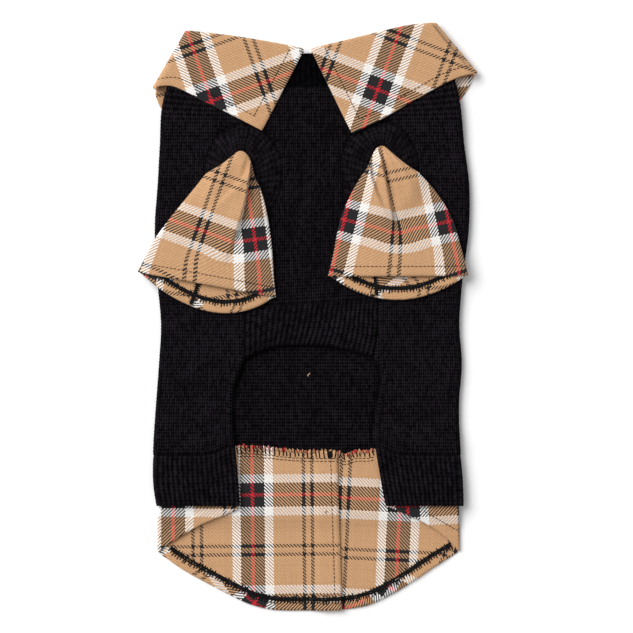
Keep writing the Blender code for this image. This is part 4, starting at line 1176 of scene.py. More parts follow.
def sleeve_loop(sleeve, row, face, hem):
    """One closed section of a sleeve, clockwise from its left fold over the front.

    face is 0 for the outer face and 1 for the inner one, and hem the share of the turned
    hem in the wall. From row -1 to row 0 the oval of the mouth turns into the flat sleeve.
    """
    flat = float(np.clip(row + 1, 0, 1))
    row = max(row, 0)

    def at_row(column):
        pairs = enumerate(getattr(section, column) for section in sleeve.sections)
        return float(read(row_table(Height, pairs), row, "z"))

    left, right, front, back = (np.array([at_row(name + "_x"), at_row(name + "_y")])
                                for name in ("left", "right", "front", "back"))
    across = unit(right - left)
    start, end = left + across * SLEEVE_FOLD, right - across * SLEEVE_FOLD

    def layer(part, middle):
        """A layer's points in plan, its swell between the folds and its wall."""
        swell = np.sin(pi * part)
        wall = WOVEN_WALL + hem * (CUFF_HEM_WALL - WOVEN_WALL) * ease(swell, 0.1, 0.3)
        return through(start, middle, end, part[:, None]), swell, wall

    part = np.linspace(0, 1, SLEEVE_FRONT_COLUMNS)
    top, swell, wall = layer(part, front)
    hollow = 2 * SLEEVE_FOLD - 2 * WOVEN_WALL
    puff = HEAD_PUFF * ease(row, 4.5, 0.5)
    hollow = hollow + (at_row("hollow") + puff - hollow) * swell
    ridges, hollows = pleat_forms(part, row, sleeve.pleats)
    hollow = np.maximum(hollow + gathers(part, row) - hollows, LEAST_HOLLOW) + ridges
    lift = HEAD_LIFT + (2 * WOVEN_WALL + hollow - HEAD_LIFT) * flat
    front_z = sleeve_rest(*top.T) + lift - face * flat * wall

    bottom, _, wall = layer(np.linspace(1, 0, SLEEVE_BACK_COLUMNS), back)
    back_z = sleeve_rest(*bottom.T) + face * flat * wall

    inset = face * WOVEN_WALL
    loop = np.concatenate([
        np.column_stack([top, front_z]),
        fold_around(right, -across, inset, (front_z[-1], back_z[0])),
        np.column_stack([bottom, back_z]),
        fold_around(left, across, inset, (back_z[-1], front_z[0])),
    ])
    mouth = mouth_loop(sleeve.armhole, SEAM_GAP + inset, 0)
    loop[:, :2] += (mouth[:, :2] - loop[:, :2]) * (1 - flat)
    return loop


def mouth_loop(armhole, shrink, z):
    """Oval loop of a sleeve in its armhole, with the same columns as the other loops."""
    side = MOUTH_FOLD_TURN
    start, end = armhole.fold_left, armhole.fold_right
    front = np.linspace(start, end, SLEEVE_FRONT_COLUMNS)
    right = np.linspace(end, end - side, SLEEVE_FOLD_COLUMNS + 2)[1:-1]
    back = np.linspace(end - side, start + side - 360, SLEEVE_BACK_COLUMNS)
    left = np.linspace(start + side - 360, start - 360, SLEEVE_FOLD_COLUMNS + 2)[1:-1]
    angle = np.radians(np.concatenate([front, right, back, left]))
    x = armhole.mouth_x + (MOUTH_HALF_WIDTH - shrink) * np.cos(angle)
    y = armhole.mouth_y + (MOUTH_HALF_HEIGHT - shrink) * np.sin(angle)
    return np.column_stack([x, y, np.full(len(x), z)])


def sleeve_face(sleeve, face):
    """Grid of a sleeve's outer face (0) or inner face (1), from its mouth to its cuff."""
    armhole = sleeve.armhole
    ring_top = float(body_top(armhole.mouth_x, armhole.mouth_y)) + RING_RISE
    shrink = SEAM_GAP + face * WOVEN_WALL
    loops = [mouth_loop(armhole, shrink, ring_top - RIB_WALL / 2),
             mouth_loop(armhole, shrink, ring_top + RIB_RAISE + LAYER_GAP)]
    for rows, hem in ((SLEEVE_ROWS, 0), (CUFF_ROWS, 1)):
        loops += [sleeve_loop(sleeve, row, face, hem) for row in rows]
    return np.array(loops)


def pleat_place(pleat, row):
    """Place of a pleat across a sleeve's front, from 0 on the left to 1."""
    return pleat.top_at + (pleat.end_at - pleat.top_at) * row / pleat.end_row


def sleeve_places(sleeve, grid, face):
    """Cloth coordinates of a sleeve: two grains that meet at the pleat and run into one
    another below it, and an underarm seam in the back layer. The turned hem shows inside."""
    plan = grid[..., :2].copy()
    if face:
        cuff = len(CUFF_ROWS)
        plan[-cuff:] = 2 * plan[-1:] - plan[-cuff:]
    first, last = sleeve.sections[0], sleeve.sections[-1]
    pleat, grain = sleeve.pleats[0], sleeve.grain
    over_left = mirror(plan, (first.left_x, first.left_y), (last.left_x, last.left_y))
    over_right = mirror(plan, (first.right_x, first.right_y), (last.right_x, last.right_y))
    column = np.arange(grid.shape[1])
    back_start = SLEEVE_FRONT_COLUMNS + SLEEVE_FOLD_COLUMNS
    middle = back_start + UNDERARM_COLUMN
    back_end = back_start + SLEEVE_BACK_COLUMNS
    is_right = ((column >= back_start) & (column <= middle))[None, :, None]
    is_left = ((column > middle) & (column < back_end))[None, :, None]
    plan = np.where(is_right, over_right, np.where(is_left, over_left, plan))
    rows = np.concatenate([[0, 0], np.maximum(SLEEVE_ROWS, 0), CUFF_ROWS])[:, None]
    part = (column / (SLEEVE_FRONT_COLUMNS - 1))[None, :]
    fan = 0.005 + GRAIN_FAN * ease(rows, pleat.end_row - 1, 6)
    share = ease(part - pleat_place(pleat, rows), -fan, fan) * (column <= middle)
    angle = grain.left + (grain.right - grain.left) * share
    places = turned(plan, angle, (grain.x, grain.y)) * (-1, 1)
    return places + (grain.across, grain.along)


def add_sleeve(side, check):
    faces = [sleeve_face(SLEEVES[side], face) for face in (0, 1)]
    places = [sleeve_places(SLEEVES[side], grid, face) for face, grid in enumerate(faces)]
    name = f"sleeve_{SIDE_NAME[side]}_cloth"
    return thin_shell(name, [check], *faces, *places, closed=True)


def tail_floor(y):
    """Underside of the tail: on the hem band, and down on the floor beyond it."""
    return TAIL_UNDER_BAND * ease(y, TAIL_DROP_END, TAIL_DROP_START)


def tail_top(x):
    """Raw upper edge of the tail, which sags a little between the side wraps."""
    sag = TAIL_SAG * ease(x, *SAG_LEFT) * ease(x, *SAG_RIGHT)
    return TAIL_TOP - sag - TOP_NOTCH.depth * dip(x - TOP_NOTCH_X, TOP_NOTCH.width)


def placket_x(y):
    """The placket's fold edge, which leans a little."""
    return PLACKET_EDGE + PLACKET_LEAN * ease(y, TAIL_TOP, TAIL_HEM_LOWEST)


def tail_place(side, plan):
    """Cloth coordinates of points in plan on a half of the tail."""
    half = TAIL_HALVES[side]
    return turned(plan, half.grain) + half.shift


def add_tail_half(side, check):
    """One half of the tail: the flap that folds over, the side fold and the back layer.

    side is -1 for the left half and 1 for the right one. The outer face lies down.
    """
    fold = SIDE_NAME[side]
    flap_x, flap_hem = TAIL_HALVES[side][:2]
    corner_x = getattr(TAIL_SIDES[0], fold)
    inner_x = corner_x - side * TAIL_FOLD
    columns = []

    def hem_slope(hem, x):
        return float(read(hem, x + 1, "y") - read(hem, x - 1, "y")) / 2

    def rows_from(hem_y, top):
        """Heights from the hem up: close rows along the turned hem, then even ones."""
        rest = np.linspace(TAIL_BAND_ROWS[-1], top - hem_y, TAIL_ROWS)[1:]
        return hem_y + np.concatenate([TAIL_BAND_ROWS, rest])

    def walls(y, hem_y, share, hem_wall):
        """Wall down a column, with its turned hem."""
        return WOVEN_WALL + (hem_wall - WOVEN_WALL) * share * (y - hem_y < TAIL_BAND)

    def add_column(x, share, y, z, wall, hem_y, folded, slope=0.0):
        """Keep a column of the outer face, with its own cloth and the turned hem's. share
        says how far it follows the tail's side fold."""
        x = x + share * (read(TAIL_SIDES, y, fold) - corner_x)
        plan = points_of(x, y)
        turned_up = mirror(plan, (x[0], hem_y), (x[0] + 1, hem_y + slope))
        hem_plan = np.where((y - hem_y < TAIL_BAND)[:, None], turned_up, plan)
        places = []
        for flat in (plan, hem_plan):
            unfolded = np.where(folded, 2 * corner_x - flat[:, 0], flat[:, 0])
            places.append(tail_place(side, points_of(unfolded, flat[:, 1])))
        columns.append((points_of(x, y, z), wall, *places))

    for part in np.linspace(0, 1, FLAP_COLUMNS):
        x = flap_x + part * (inner_x - flap_x)
        hem_y = float(read(flap_hem, x, "y"))
        y = rows_from(hem_y, TAIL_TOP)
        puff = 2 * TAIL_FOLD - 2 * WOVEN_WALL - LAYER_GAP
        wall = walls(y, hem_y, float(ease(part, 1, 0.8)), FLAP_HEM_WALL)
        z = tail_floor(y) + WOVEN_WALL + LAYER_GAP + wall + puff * float(ease(part, 0.4, 1))
        z = z + 0.5 * dip(y - hem_y, 3) * ease(part, 0, 0.2) * ease(part, 1, 0.6)
        add_column(x, part, y, z, wall, hem_y, True, hem_slope(flap_hem, x))

    hem_y = float(read(flap_hem, corner_x, "y"))
    y = rows_from(hem_y, TAIL_TOP)
    for angle in np.linspace(pi / 2, -pi / 2, 9)[1:-1]:
        x = corner_x - side * TAIL_FOLD * (1 - np.cos(angle))
        z = tail_floor(y) + TAIL_FOLD * (1 + np.sin(angle))
        add_column(x, 1, y, z, np.full(len(y), WOVEN_WALL), hem_y, angle > 0)

    edge_x = PLACKET_EDGE if side < 0 else PLACKET_UNDER
    for part in np.linspace(1, 0, TAIL_COLUMNS):
        x = edge_x + part * (inner_x - edge_x)
        hem_y = float(read(TAIL_HEM, x, "y"))
        y = rows_from(hem_y, float(tail_top(x)))
        wall = walls(y, hem_y, float(ease(part, 1, 0.88)), TAIL_HEM_WALL)
        over = float(side < 0) * float(ease(x, PLACKET_UNDER - PLACKET_RAMP, PLACKET_UNDER))
        z = tail_floor(y) + over * (wall + LAYER_GAP)
        facing = PLACKET_FACING * (side < 0) * (x > PLACKET_EDGE - PLACKET_STITCH)
        ripple = 0.22 * noise_wave(y * 1.6 + x * 0.7, 8) * ease(y, -150, -190)
        wall = wall + facing + np.maximum(ripple, -0.15)
        slope = hem_slope(TAIL_HEM, x)
        x = x + over * (placket_x(y) - PLACKET_EDGE)
        add_column(x, part, y, z, wall, hem_y, False, slope)

    outer, wall, places, hem_places = (np.stack(kept, axis=1)
                                       for kept in zip(*columns[::-side]))
    inner = outer - grid_normals(outer) * wall[..., None]
    return thin_shell(f"tail_{fold}_cloth", [check], outer, inner, places, hem_places)


# ---- sewing

STITCH = 2.3
STITCH_SPACE = 0.5
THREAD = 0.26
OVERLOCK_THREAD = 0.84


class Lay:
    """Finds the height of the upper face of some finished pieces at places in plan."""

    def __init__(self, *pieces):
        self.trees = []
        for piece in pieces:
            points = [vertex.co for vertex in piece.data.vertices]
            faces = [tuple(face.vertices) for face in piece.data.polygons]
            self.trees.append(BVHTree.FromPolygons(points, faces))

    def height(self, x, y, start=50.0):
        """Height in plan millimetres below a start, or None where no piece lies."""
        above = Vector(((x + PLAN_SHIFT[0]) * MM, (y + PLAN_SHIFT[1]) * MM, start * MM))
        hits = [tree.ray_cast(above, Vector((0, 0, -1)))[0] for tree in self.trees]
        heights = [hit.z / MM for hit in hits if hit is not None]
        return max(heights) if heights else None


def spaced(path, step):
    """Points along a path in plan, one step apart, with the way that the path runs."""
    path = np.asarray(path, float)
    lengths = np.concatenate([[0], np.cumsum(np.linalg.norm(np.diff(path, axis=0), axis=1))])

    def place(at):
        return np.stack([np.interp(at, lengths, column) for column in path.T], axis=-1)

    at = np.arange(step / 2, lengths[-1], step)
    return place(at), unit(place(at + 0.5) - place(at - 0.5))


def stitch_lines(lay, path, seed):
    """Topstitches along a path in plan: short threads that dip into the cloth."""
    lines = []
    rng = np.random.default_rng(seed)
    for point, way in zip(*spaced(path, STITCH + STITCH_SPACE)):
        across = np.array([-way[1], way[0]])
        point = point + across * rng.normal(0, 0.06)
        z = lay.height(*point)
        if z is None:
            continue
        reach = STITCH / 2 * rng.uniform(0.9, 1.05)
        lines.append([(*(point + way * reach * at), z + lift) for at, lift in
                      ((-1, -0.12), (-0.7, 0.14), (0, 0.2), (0.7, 0.14), (1, -0.12))])
    return lines


def overlock_lines(height, path, width, pitch, seed, looped=True, slant=0.25):
    """Overlock threads along a raw edge in plan, whose cloth lies to the right of the path.

    height gives the height of the cloth at a place. Each stitch is a bar from its foot to
    the edge and over it. The loops and crossing strands near the edge can be left out.
    """
    lines = []
    rng = np.random.default_rng(seed)
    points, ways = spaced(path, pitch)
    feet = []
    for point, way in zip(points, ways):
        into = np.array([way[1], -way[0]])
        reach = width * rng.uniform(0.8, 1.15)
        lean = pitch * (slant + rng.uniform(-0.2, 0.2))
        slip = rng.normal(0, pitch * 0.1)
        foot = point + into * reach + way * slip
        middle = point + into * reach * 0.5 + way * (lean * 0.5 + slip)
        head = point + into * 0.2 + way * (lean + slip)
        beyond = point - into * rng.uniform(0.3, 2.0) + way * (lean + slip)
        z_foot, z_middle = height(*foot), height(*middle)
        z_head = height(*(point + into * 0.7))
        if None in (z_foot, z_middle, z_head):
            feet.append(None)
            continue
        lines.append([(*foot, z_foot - 0.1), (*(foot * 0.8 + middle * 0.2), z_foot + 0.25),
                      (*middle, z_middle + 0.32), (*head, z_head + 0.3),
                      (*beyond, z_head - 0.2), (*beyond, z_head - 0.8)])
        feet.append(((*middle, z_middle), (*head, z_head)))
    for first, second in zip(feet, feet[1:]):
        if first is None or second is None or not looped:
            continue
        for start, stop, bow in ((1, 1, 0.35), (0, 0, 0.3), (0, 1, 0.0), (1, 0, 0.0)):
            start, stop = np.array(first[start]), np.array(second[stop])
            way = unit(stop - start)
            across = np.array([way[1], -way[0], 0.0])
            middle = (start + stop) / 2 - across * bow + np.array([0, 0, 0.3])
            lift = np.array([0, 0, 0.12])
            lines.append([start + lift, (start + middle) / 2 + lift, middle,
                          (stop + middle) / 2 + lift, stop + lift])
    return lines


def offset_path(path, distance):
    """Path in plan moved to its right by a distance."""
    path = np.asarray(path, float)
    way = unit(np.gradient(path, axis=0))
    return path + points_of(way[:, 1], -way[:, 0]) * distance


def fray_lines(seed, tufts, pitch):
    """Tufts of yarn ends between the stitches of the tail's raw upper edge, with their
    places on the cloth. Some end in yarns of the red stripe."""
    rng = np.random.default_rng(seed)
    red = (sum(stripe.yarns for stripe in CHECK[:7]) + CHECK[7].yarns / 2) * YARN
    lines, places = [], []
    for tuft in tufts:
        full = rng.uniform(0.6, 1.2)
        for strand in range(6):
            x = tuft + rng.uniform(-0.3, 0.3) * pitch
            y = float(tail_top(x))
            reach = full * rng.uniform(0.4, 1.7)
            lean = rng.normal(-0.3, 0.4)
            z = 4.0 + rng.uniform(-0.4, 0.8)
            lines.append([(x, y - 1.6, z), (x + lean * 0.4, y + reach * 0.5, z + 0.3),
                          (x + lean, y + reach, z - rng.uniform(0, 0.4))])
            at = tail_place(-1 if x < PLACKET_EDGE else 1, np.array([x, y - 1.0]))
            places.append((red, red) if rng.random() < 0.35 else tuple(at))
    return lines, places


def knot_lines(x, y, z, seed):
    """Loose ends of a button's thread: short strands in a bunch that lies slantwise."""
    rng = np.random.default_rng(seed)
    lines = []
    for turn in rng.uniform(0, 2 * pi, 11):
        reach = rng.uniform(0.8, 2.0)
        along, across = np.cos(turn) * reach, np.sin(turn) * reach * 0.45
        end = np.array([x + 0.6 * along - 0.8 * across, y + 0.8 * along + 0.6 * across])
        middle = (np.array([x, y]) + end) / 2
        lines.append([(x, y, z), (*middle, z + rng.uniform(0.4, 0.9)),
                      (*end, z + rng.uniform(0.0, 0.6))])
    return lines


# ---- materials

class Finish:
    """A cloth material and its node tree. Node inputs are given as numbers or outputs."""

    def __init__(self, name, colour, roughness, specular):
        self.material = bpy.data.materials.new(name)
        self.material.use_nodes = True
        self.tree = self.material.node_tree
        self.shader = self.tree.nodes["Principled BSDF"]
        self.shader.inputs["Base Color"].default_value = (*colour, 1)
        self.shader.inputs["Roughness"].default_value = roughness
        self.shader.inputs["Specular IOR Level"].default_value = specular

    def feed(self, socket, value):
        if isinstance(value, bpy.types.NodeSocket):
            self.tree.links.new(value, socket)
        else:
            socket.default_value = value

    def add(self, kind, inputs=(), **settings):
        node = self.tree.nodes.new(kind)
        for name, value in settings.items():
            setattr(node, name, value)
        for name, value in dict(inputs).items():
            self.feed(node.inputs[name], value)
        return node

    def math(self, operation, first, second=0.0):
        return self.add("ShaderNodeMath", {0: first, 1: second}, operation=operation).outputs[0]

    def mix(self, share, first, second, blend="MIX"):
        """Mix of two colours."""
        node = self.add("ShaderNodeMix", {0: share, 6: first, 7: second}, data_type="RGBA",
                        blend_type=blend)
        return node.outputs[2]

    def cloth_place(self):
        """The two cloth coordinates, in millimetres."""
        place = self.add("ShaderNodeUVMap", uv_map="cloth").outputs["UV"]
        parts = self.add("ShaderNodeSeparateXYZ", {"Vector": place})
        return parts.outputs["X"], parts.outputs["Y"]

    def noise(self, scale, detail=2.0, roughness=0.5):
        """Noise in space, with a scale in waves per metre."""
        place = self.add("ShaderNodeTexCoord").outputs["Object"]
        node = self.add("ShaderNodeTexNoise", {"Vector": place, "Scale": scale,
                                               "Detail": detail, "Roughness": roughness})
        return node.outputs["Fac"]

    def ramp(self, share, stops, interpolation="LINEAR"):
        """Colour ramp; stops are pairs of a position and a colour."""
        node = self.add("ShaderNodeValToRGB", {"Fac": share})
        ramp = node.color_ramp
        ramp.interpolation = interpolation
        for position, _ in stops[2:]:
            ramp.elements.new(position)
        for element, (position, colour) in zip(ramp.elements, stops):
            element.position = position
            element.color = (*colour, 1)
        return node.outputs["Color"]

    def grey(self, value):
        """A number as a grey colour."""
        parts = {"Red": value, "Green": value, "Blue": value}
        return self.add("ShaderNodeCombineColor", parts).outputs["Color"]

    def bump(self, height, strength, distance, under=None):
        """Bump on the shader's normal; distance is in millimetres."""
        inputs = {"Height": height, "Strength": strength, "Distance": distance * MM}
        if under is not None:
            inputs["Normal"] = under
        return self.add("ShaderNodeBump", inputs).outputs["Normal"]

    def sheen(self, weight, roughness, tint):
        self.shader.inputs["Sheen Weight"].default_value = weight
        self.shader.inputs["Sheen Roughness"].default_value = roughness
        self.shader.inputs["Sheen Tint"].default_value = (*tint, 1)

    def paint(self, colour=None, normal=None, roughness=None):
        for name, value in (("Base Color", colour), ("Normal", normal),
                            ("Roughness", roughness)):
            if value is not None:
                self.feed(self.shader.inputs[name], value)
        return self.material


def check_stops():
    """Stops of the colour ramp over one repeat of the check."""
    stops, start = [], 0
    for stripe in CHECK:
        stops.append((start / REPEAT, stripe.colour))
        start += stripe.yarns
    return stops


WARP_SHADE = 0.98
WEFT_SHADE = 0.76


def check_twill():
    """Two by two twill, with the same stripes in warp and weft."""
    cloth = Finish("check_twill", CAMEL, 0.9, 0.15)
    places = cloth.cloth_place()
    wobbles = (cloth.noise(260, 1.0), cloth.noise(300, 1.0))
    index, colours, crowns = [], [], []
    for place, wobble in zip(places, wobbles):
        shift = cloth.math("MULTIPLY", cloth.math("SUBTRACT", wobble, 0.5), WOBBLE)
        yarns = cloth.math("DIVIDE", cloth.math("ADD", place, shift), YARN)
        number = cloth.math("FLOOR", yarns)
        middle = cloth.math("ADD", number, 0.5)
        at = cloth.math("FRACT", cloth.math("DIVIDE", middle, REPEAT))
        colour = cloth.ramp(at, check_stops(), "CONSTANT")
        uneven = cloth.add("ShaderNodeTexWhiteNoise", {"W": middle}, noise_dimensions="1D")
        least = WARP_SHADE if not colours else WEFT_SHADE
        shade = cloth.math("ADD", cloth.math("MULTIPLY", uneven.outputs["Value"], 0.14), least)
        colours.append(cloth.mix(1.0, colour, cloth.grey(shade), "MULTIPLY"))
        inside = cloth.math("MULTIPLY", cloth.math("SUBTRACT", yarns, number), pi)
        crowns.append(cloth.math("SINE", inside))
        index.append(number)
    step = cloth.math("FLOORED_MODULO", cloth.math("ADD", *index), 4.0)
    warp_over = cloth.math("LESS_THAN", step, 1.5)
    colour = cloth.mix(warp_over, colours[1], colours[0])
    fibres = cloth.noise(900, 3.0, 0.65)
    faded = cloth.ramp(fibres, ((0.3, (0.86, 0.85, 0.84)), (0.7, (1.0, 1.0, 1.0))))
    colour = cloth.mix(1.0, colour, faded, "MULTIPLY")
    down = cloth.math("MULTIPLY", crowns[1], cloth.math("SUBTRACT", 1.0, warp_over))
    height = cloth.math("ADD", cloth.math("MULTIPLY", crowns[0], warp_over), down)
    normal = cloth.bump(height, 0.55, 0.12)
    normal = cloth.bump(fibres, 0.35, 0.2, normal)
    cloth.sheen(0.2, 0.45, (1.0, 0.93, 0.86))
    return cloth.paint(colour, normal)


# Knit colours: the near-black yarn, and the painted highlight colour of the stitches' legs
KNIT_YARN_AND_HIGHLIGHT = ((0.0003, 0.0002, 0.0004), (0.0200, 0.0163, 0.0213))
# Painted light across a wale or a rib: painted highlight on the legs, painted shade in the
# valleys
KNIT_PAINTED_LIGHT = ((0.0, 0.05), (0.25, 1.0), (0.5, 0.2), (0.75, 1.0), (1.0, 0.05))
RIB_PAINTED_LIGHT = ((0.0, 0.25), (0.17, 0.3), (0.34, 0.9), (0.5, 0.5), (0.66, 0.9), (0.83, 0.3),
               (1.0, 0.25))
RING_PAINTED_LIGHT = ((0.0, 0.4), (0.17, 0.5), (0.34, 0.85), (0.5, 0.6), (0.66, 0.85), (0.83, 0.5),
                (1.0, 0.4))


def grey_stops(painted_light_profile):
    return [(position, (value, value, value)) for position, value in painted_light_profile]


def knit_material(name, painted_light_profile, flat=False, highlight_share=1.0, groove_shade=0.15, patchy=0.7):
    """Near-black, fuzzy yarn with painted light: a painted highlight on the legs of the stitches
    and painted shade between them and between the courses.

    painted_light_profile is the painted light across a wale or a rib, groove_shade the painted
    shade between courses, highlight_share how much painted highlight there is, and patchy how
    much the painted highlight varies at random. On flat cloth, the V of the stitches is painted
    in the material as highlight and shade, and not in the mesh.
    """
    dark, light = KNIT_YARN_AND_HIGHLIGHT
    cloth = Finish(name, dark, 0.95, 0.01)
    u, v = cloth.cloth_place()
    wales = cloth.math("DIVIDE", u, WALE)
    courses = cloth.math("DIVIDE", v, COURSE)
    across = cloth.math("FRACT", wales)
    if flat:
        from_middle = cloth.math("ABSOLUTE", cloth.math("SUBTRACT", across, 0.5))
        courses = cloth.math("SUBTRACT", courses, from_middle)
    # Painted highlight on the legs, painted shade in the valleys beside them and between the
    # courses; the same pattern is also the bump's height
    painted_leg_light = cloth.ramp(across, grey_stops(painted_light_profile))
    painted_course_shade = grey_stops(((0.0, 1.0), (0.5, groove_shade), (1.0, 1.0)))
    loop = cloth.ramp(cloth.math("FRACT", courses), painted_course_shade)
    stitch = cloth.math("MULTIPLY", painted_leg_light, loop)
    corner = cloth.add("ShaderNodeCombineXYZ", {
        "X": cloth.math("FLOOR", cloth.math("MULTIPLY", wales, 2.0)),
        "Y": cloth.math("FLOOR", courses)}).outputs["Vector"]
    uneven = cloth.add("ShaderNodeTexWhiteNoise", {"Vector": corner}, noise_dimensions="2D")
    uneven = cloth.math("ADD", cloth.math("MULTIPLY", uneven.outputs["Value"], 1.1), 0.4)
    patches = cloth.math("MULTIPLY", cloth.noise(75, 2.0), patchy)
    patches = cloth.math("ADD", patches, 1.0 - patchy / 2)
    fuzz = cloth.noise(1300, 3.0, 0.7)
    share = cloth.math("MULTIPLY", cloth.math("MULTIPLY", stitch, uneven), patches)
    fluff = cloth.math("ADD", cloth.math("MULTIPLY", fuzz, 2.4), -0.2)
    share = cloth.math("MULTIPLY", share, cloth.math("MULTIPLY", fluff, highlight_share))
    cloth.sheen(0.01, 0.5, (0.9, 0.85, 1.0))
    # The near-black yarn, lifted towards the painted highlight colour where the painted light
    # falls
    colour = cloth.mix(share, (*dark, 1), (*light, 1))
    return cloth.paint(colour, cloth.bump(fuzz, 0.5, 0.25, cloth.bump(stitch, 0.8, 0.3)))


def thread_material(name, colour, gloss):
    """Spun thread, with a fine twist."""
    thread = Finish(name, colour, 0.7, gloss)
    twist = thread.noise(2600, 1.0)
    dark = tuple(0.5 * part for part in colour)
    return thread.paint(thread.ramp(twist, ((0.3, dark), (0.7, colour))),
                        thread.bump(twist, 0.3, 0.1))


def floor_material():
    floor = Finish("floor_paper", (0.93, 0.93, 0.93), 0.9, 0.0)
    grain = floor.noise(400, 2.0)
    return floor.paint(floor.ramp(grain, ((0.0, (0.92, 0.92, 0.92)), (1.0, (0.94, 0.94, 0.94)))))


# ---- sewing on the garment

COLLAR_MARGIN = 6.3
LEAF_MARGIN = 0.11
CUFF_MARGIN = 6.3
CUFF_OVERLOCK_AT = 4.0
CUFF_OVERLOCK = 4.4
TAIL_OVERLOCK_AT = 3.6
TAIL_OVERLOCK = 4.6
TOP_OVERLOCK = 4.6
TOP_PITCH = 2.9


def collar_stitch_path(table, at_front):
    """Topstitch paths on a leaf: one beside its outer edge and one up its front edge."""
    def roll(along):
        x = float(read(table, along, "roll_x"))
        return np.array([x, roll_start(x)])

    def beside_edge(along):
        start, edge = roll(along), leaf_edge(table, along)
        return start + (edge - start) * (1 - COLLAR_MARGIN / np.linalg.norm(edge - start))

    front, outer = (LEAF_MARGIN, 1.0) if at_front == 0 else (1 - LEAF_MARGIN, 0.0)
    corner = beside_edge(front)
    up_front = [corner + (roll(front) - corner) * part for part in np.linspace(0, 1, 30)]
    along_edge = [beside_edge(along) for along in np.linspace(outer, front, 40)]
    return np.array(along_edge), np.array(up_front)


def below_flaps(path):
    """Part of a path in plan that the tail's flaps leave in view."""
    x, y = path.T
    left = np.where(x < FLAP_HEM_LEFT[-1].x, read(FLAP_HEM_LEFT, x, "y"), 0)
    right = np.where(x > FLAP_HEM_RIGHT[0].x, read(FLAP_HEM_RIGHT, x, "y"), 0)
    return path[(y < left - 1.5) & (y < right - 1.5)]


def sleeve_sewing(on_sleeves):
    """Topstitches of the cuffs, and overlock threads inside them and on their seams."""
    lines, combs = [], []

    def inside_cuff(x, y):
        """Height of the inside of a sleeve's back layer."""
        return on_sleeves.height(x, y, float(sleeve_rest(x, y)) + CUFF_HEM_WALL + 1.0)

    for number, sleeve in enumerate(SLEEVES.values()):
        loop = sleeve_loop(sleeve, CUFF_ROWS[-1], 0, 1)
        front = loop[:SLEEVE_FRONT_COLUMNS, :2]
        back_start = SLEEVE_FRONT_COLUMNS + SLEEVE_FOLD_COLUMNS
        back = loop[back_start:back_start + SLEEVE_BACK_COLUMNS, :2]
        lines += stitch_lines(on_sleeves, offset_path(front, -CUFF_MARGIN), 41 + number)
        edge = offset_path(back[::-1], -CUFF_OVERLOCK_AT - CUFF_OVERLOCK)[1:-1]
        combs += overlock_lines(inside_cuff, edge, CUFF_OVERLOCK, 2.0, 45 + number)
        foot = back[UNDERARM_COLUMN] + (-1.6, 0.4)
        seam = np.array([foot, foot + np.array([sleeve.seam_slope, 1.0]) * 24])
        combs += overlock_lines(inside_cuff, seam, 3.2, 1.5, 47 + number)
    return lines, combs


def tail_sewing(on_tail):
    """The tail's topstitches, and the overlock threads of its raw upper edge and its hem."""
    x = np.linspace(-50, 47, 120)
    top = points_of(x, tail_top(x))
    combs = overlock_lines(on_tail.height, top, TOP_OVERLOCK, TOP_PITCH, 51, looped=False,
                           slant=-0.2)
    knot = [(PLACKET_EDGE - PLACKET_STITCH - 0.9, y) for y in (-100.8, -94.4)]
    combs += overlock_lines(on_tail.height, knot, 1.8, 0.9, 67)
    hem_x = np.linspace(-103, 106, 220)
    hem = points_of(hem_x, read(TAIL_HEM, hem_x, "y"))
    inside = below_flaps(offset_path(hem, -(TAIL_OVERLOCK_AT + TAIL_OVERLOCK)))
    combs += overlock_lines(on_tail.height, inside, TAIL_OVERLOCK, 2.1, 53)
    y = np.linspace(-93, -200, 80)
    placket = points_of(placket_x(y) - PLACKET_STITCH, y)
    paths = ((top - (0, 5.0), 57), (top - (0, 7.0), 57), (placket, 55),
             ([(82, -137.4), (106, -151.3)], 58), ([(-104.0, -156.0), (-98.0, -148.5)], 59))
    lines = []
    for path, seed in paths:
        lines += stitch_lines(on_tail, path, seed)
    return lines, combs


def add_sewing(collar, sleeves, tails, black, tan, check):
    on_collar, on_tail = Lay(collar), Lay(*tails)
    lines = []
    for table, at_front, seed in ((LEAF_LEFT, 1, 31), (LEAF_RIGHT, 0, 33)):
        for path in collar_stitch_path(table, at_front):
            lines += stitch_lines(on_collar, path, seed)
    sleeve_lines, combs = sleeve_sewing(Lay(*sleeves))
    tail_lines, tail_combs = tail_sewing(on_tail)
    ends = ((2.8, -116.2, on_tail.height(2.8, -116.2), 61, 0.22),
            (13.3, -137.9, on_tail.height(13.3, -137.9), 63, 0.22),
            (1.2, -41.9, KNIT_WALL + PURL_HEIGHT, 65, 0.36))
    for x, y, z, seed, radius in ends:
        ride(tubes(f"thread_ends_{seed}", tan, knot_lines(x, y, z, seed), radius))
    tufts = np.arange(-50 + TOP_PITCH, 46, TOP_PITCH)
    frays, places = fray_lines(71, tufts, TOP_PITCH)
    ride(tubes("tail_fray", check, frays, 0.36, places=places))
    ride(tubes("topstitch_black", black, lines + sleeve_lines + tail_lines, THREAD))
    ride(tubes("overlock_black", black, combs + tail_combs, OVERLOCK_THREAD / 2, sides=4))


def ride(piece):
    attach(piece, ROOT)
    return piece


# ---- floor, light and camera

VIEW_WIDTH = 443.1
LENS = 200.0
SENSOR = 36.0
VIEW_MIDDLE = (6.05, -0.20)
GARMENT_MIDDLE_Z = 6.0


def add_floor():
    bpy.ops.mesh.primitive_plane_add(size=6.0, location=(0, 0, -0.25 * MM))
    floor = bpy.context.object
    floor.name = "floor"
    floor.data.materials.append(floor_material())


def add_light(name, location, size, watts):
    lamp = bpy.data.lights.new(name, "AREA")
    lamp.size = size
    lamp.energy = watts
    holder = bpy.data.objects.new(name, lamp)
    holder.location = location
    holder.rotation_euler = (-Vector(location)).to_track_quat("-Z", "Y").to_euler()
    bpy.context.scene.collection.objects.link(holder)


def add_world(strength):
    world = bpy.data.worlds.new("studio")
    world.use_nodes = True
    world.node_tree.nodes["Background"].inputs["Color"].default_value = (1, 1, 1, 1)
    world.node_tree.nodes["Background"].inputs["Strength"].default_value = strength
    bpy.context.scene.world = world


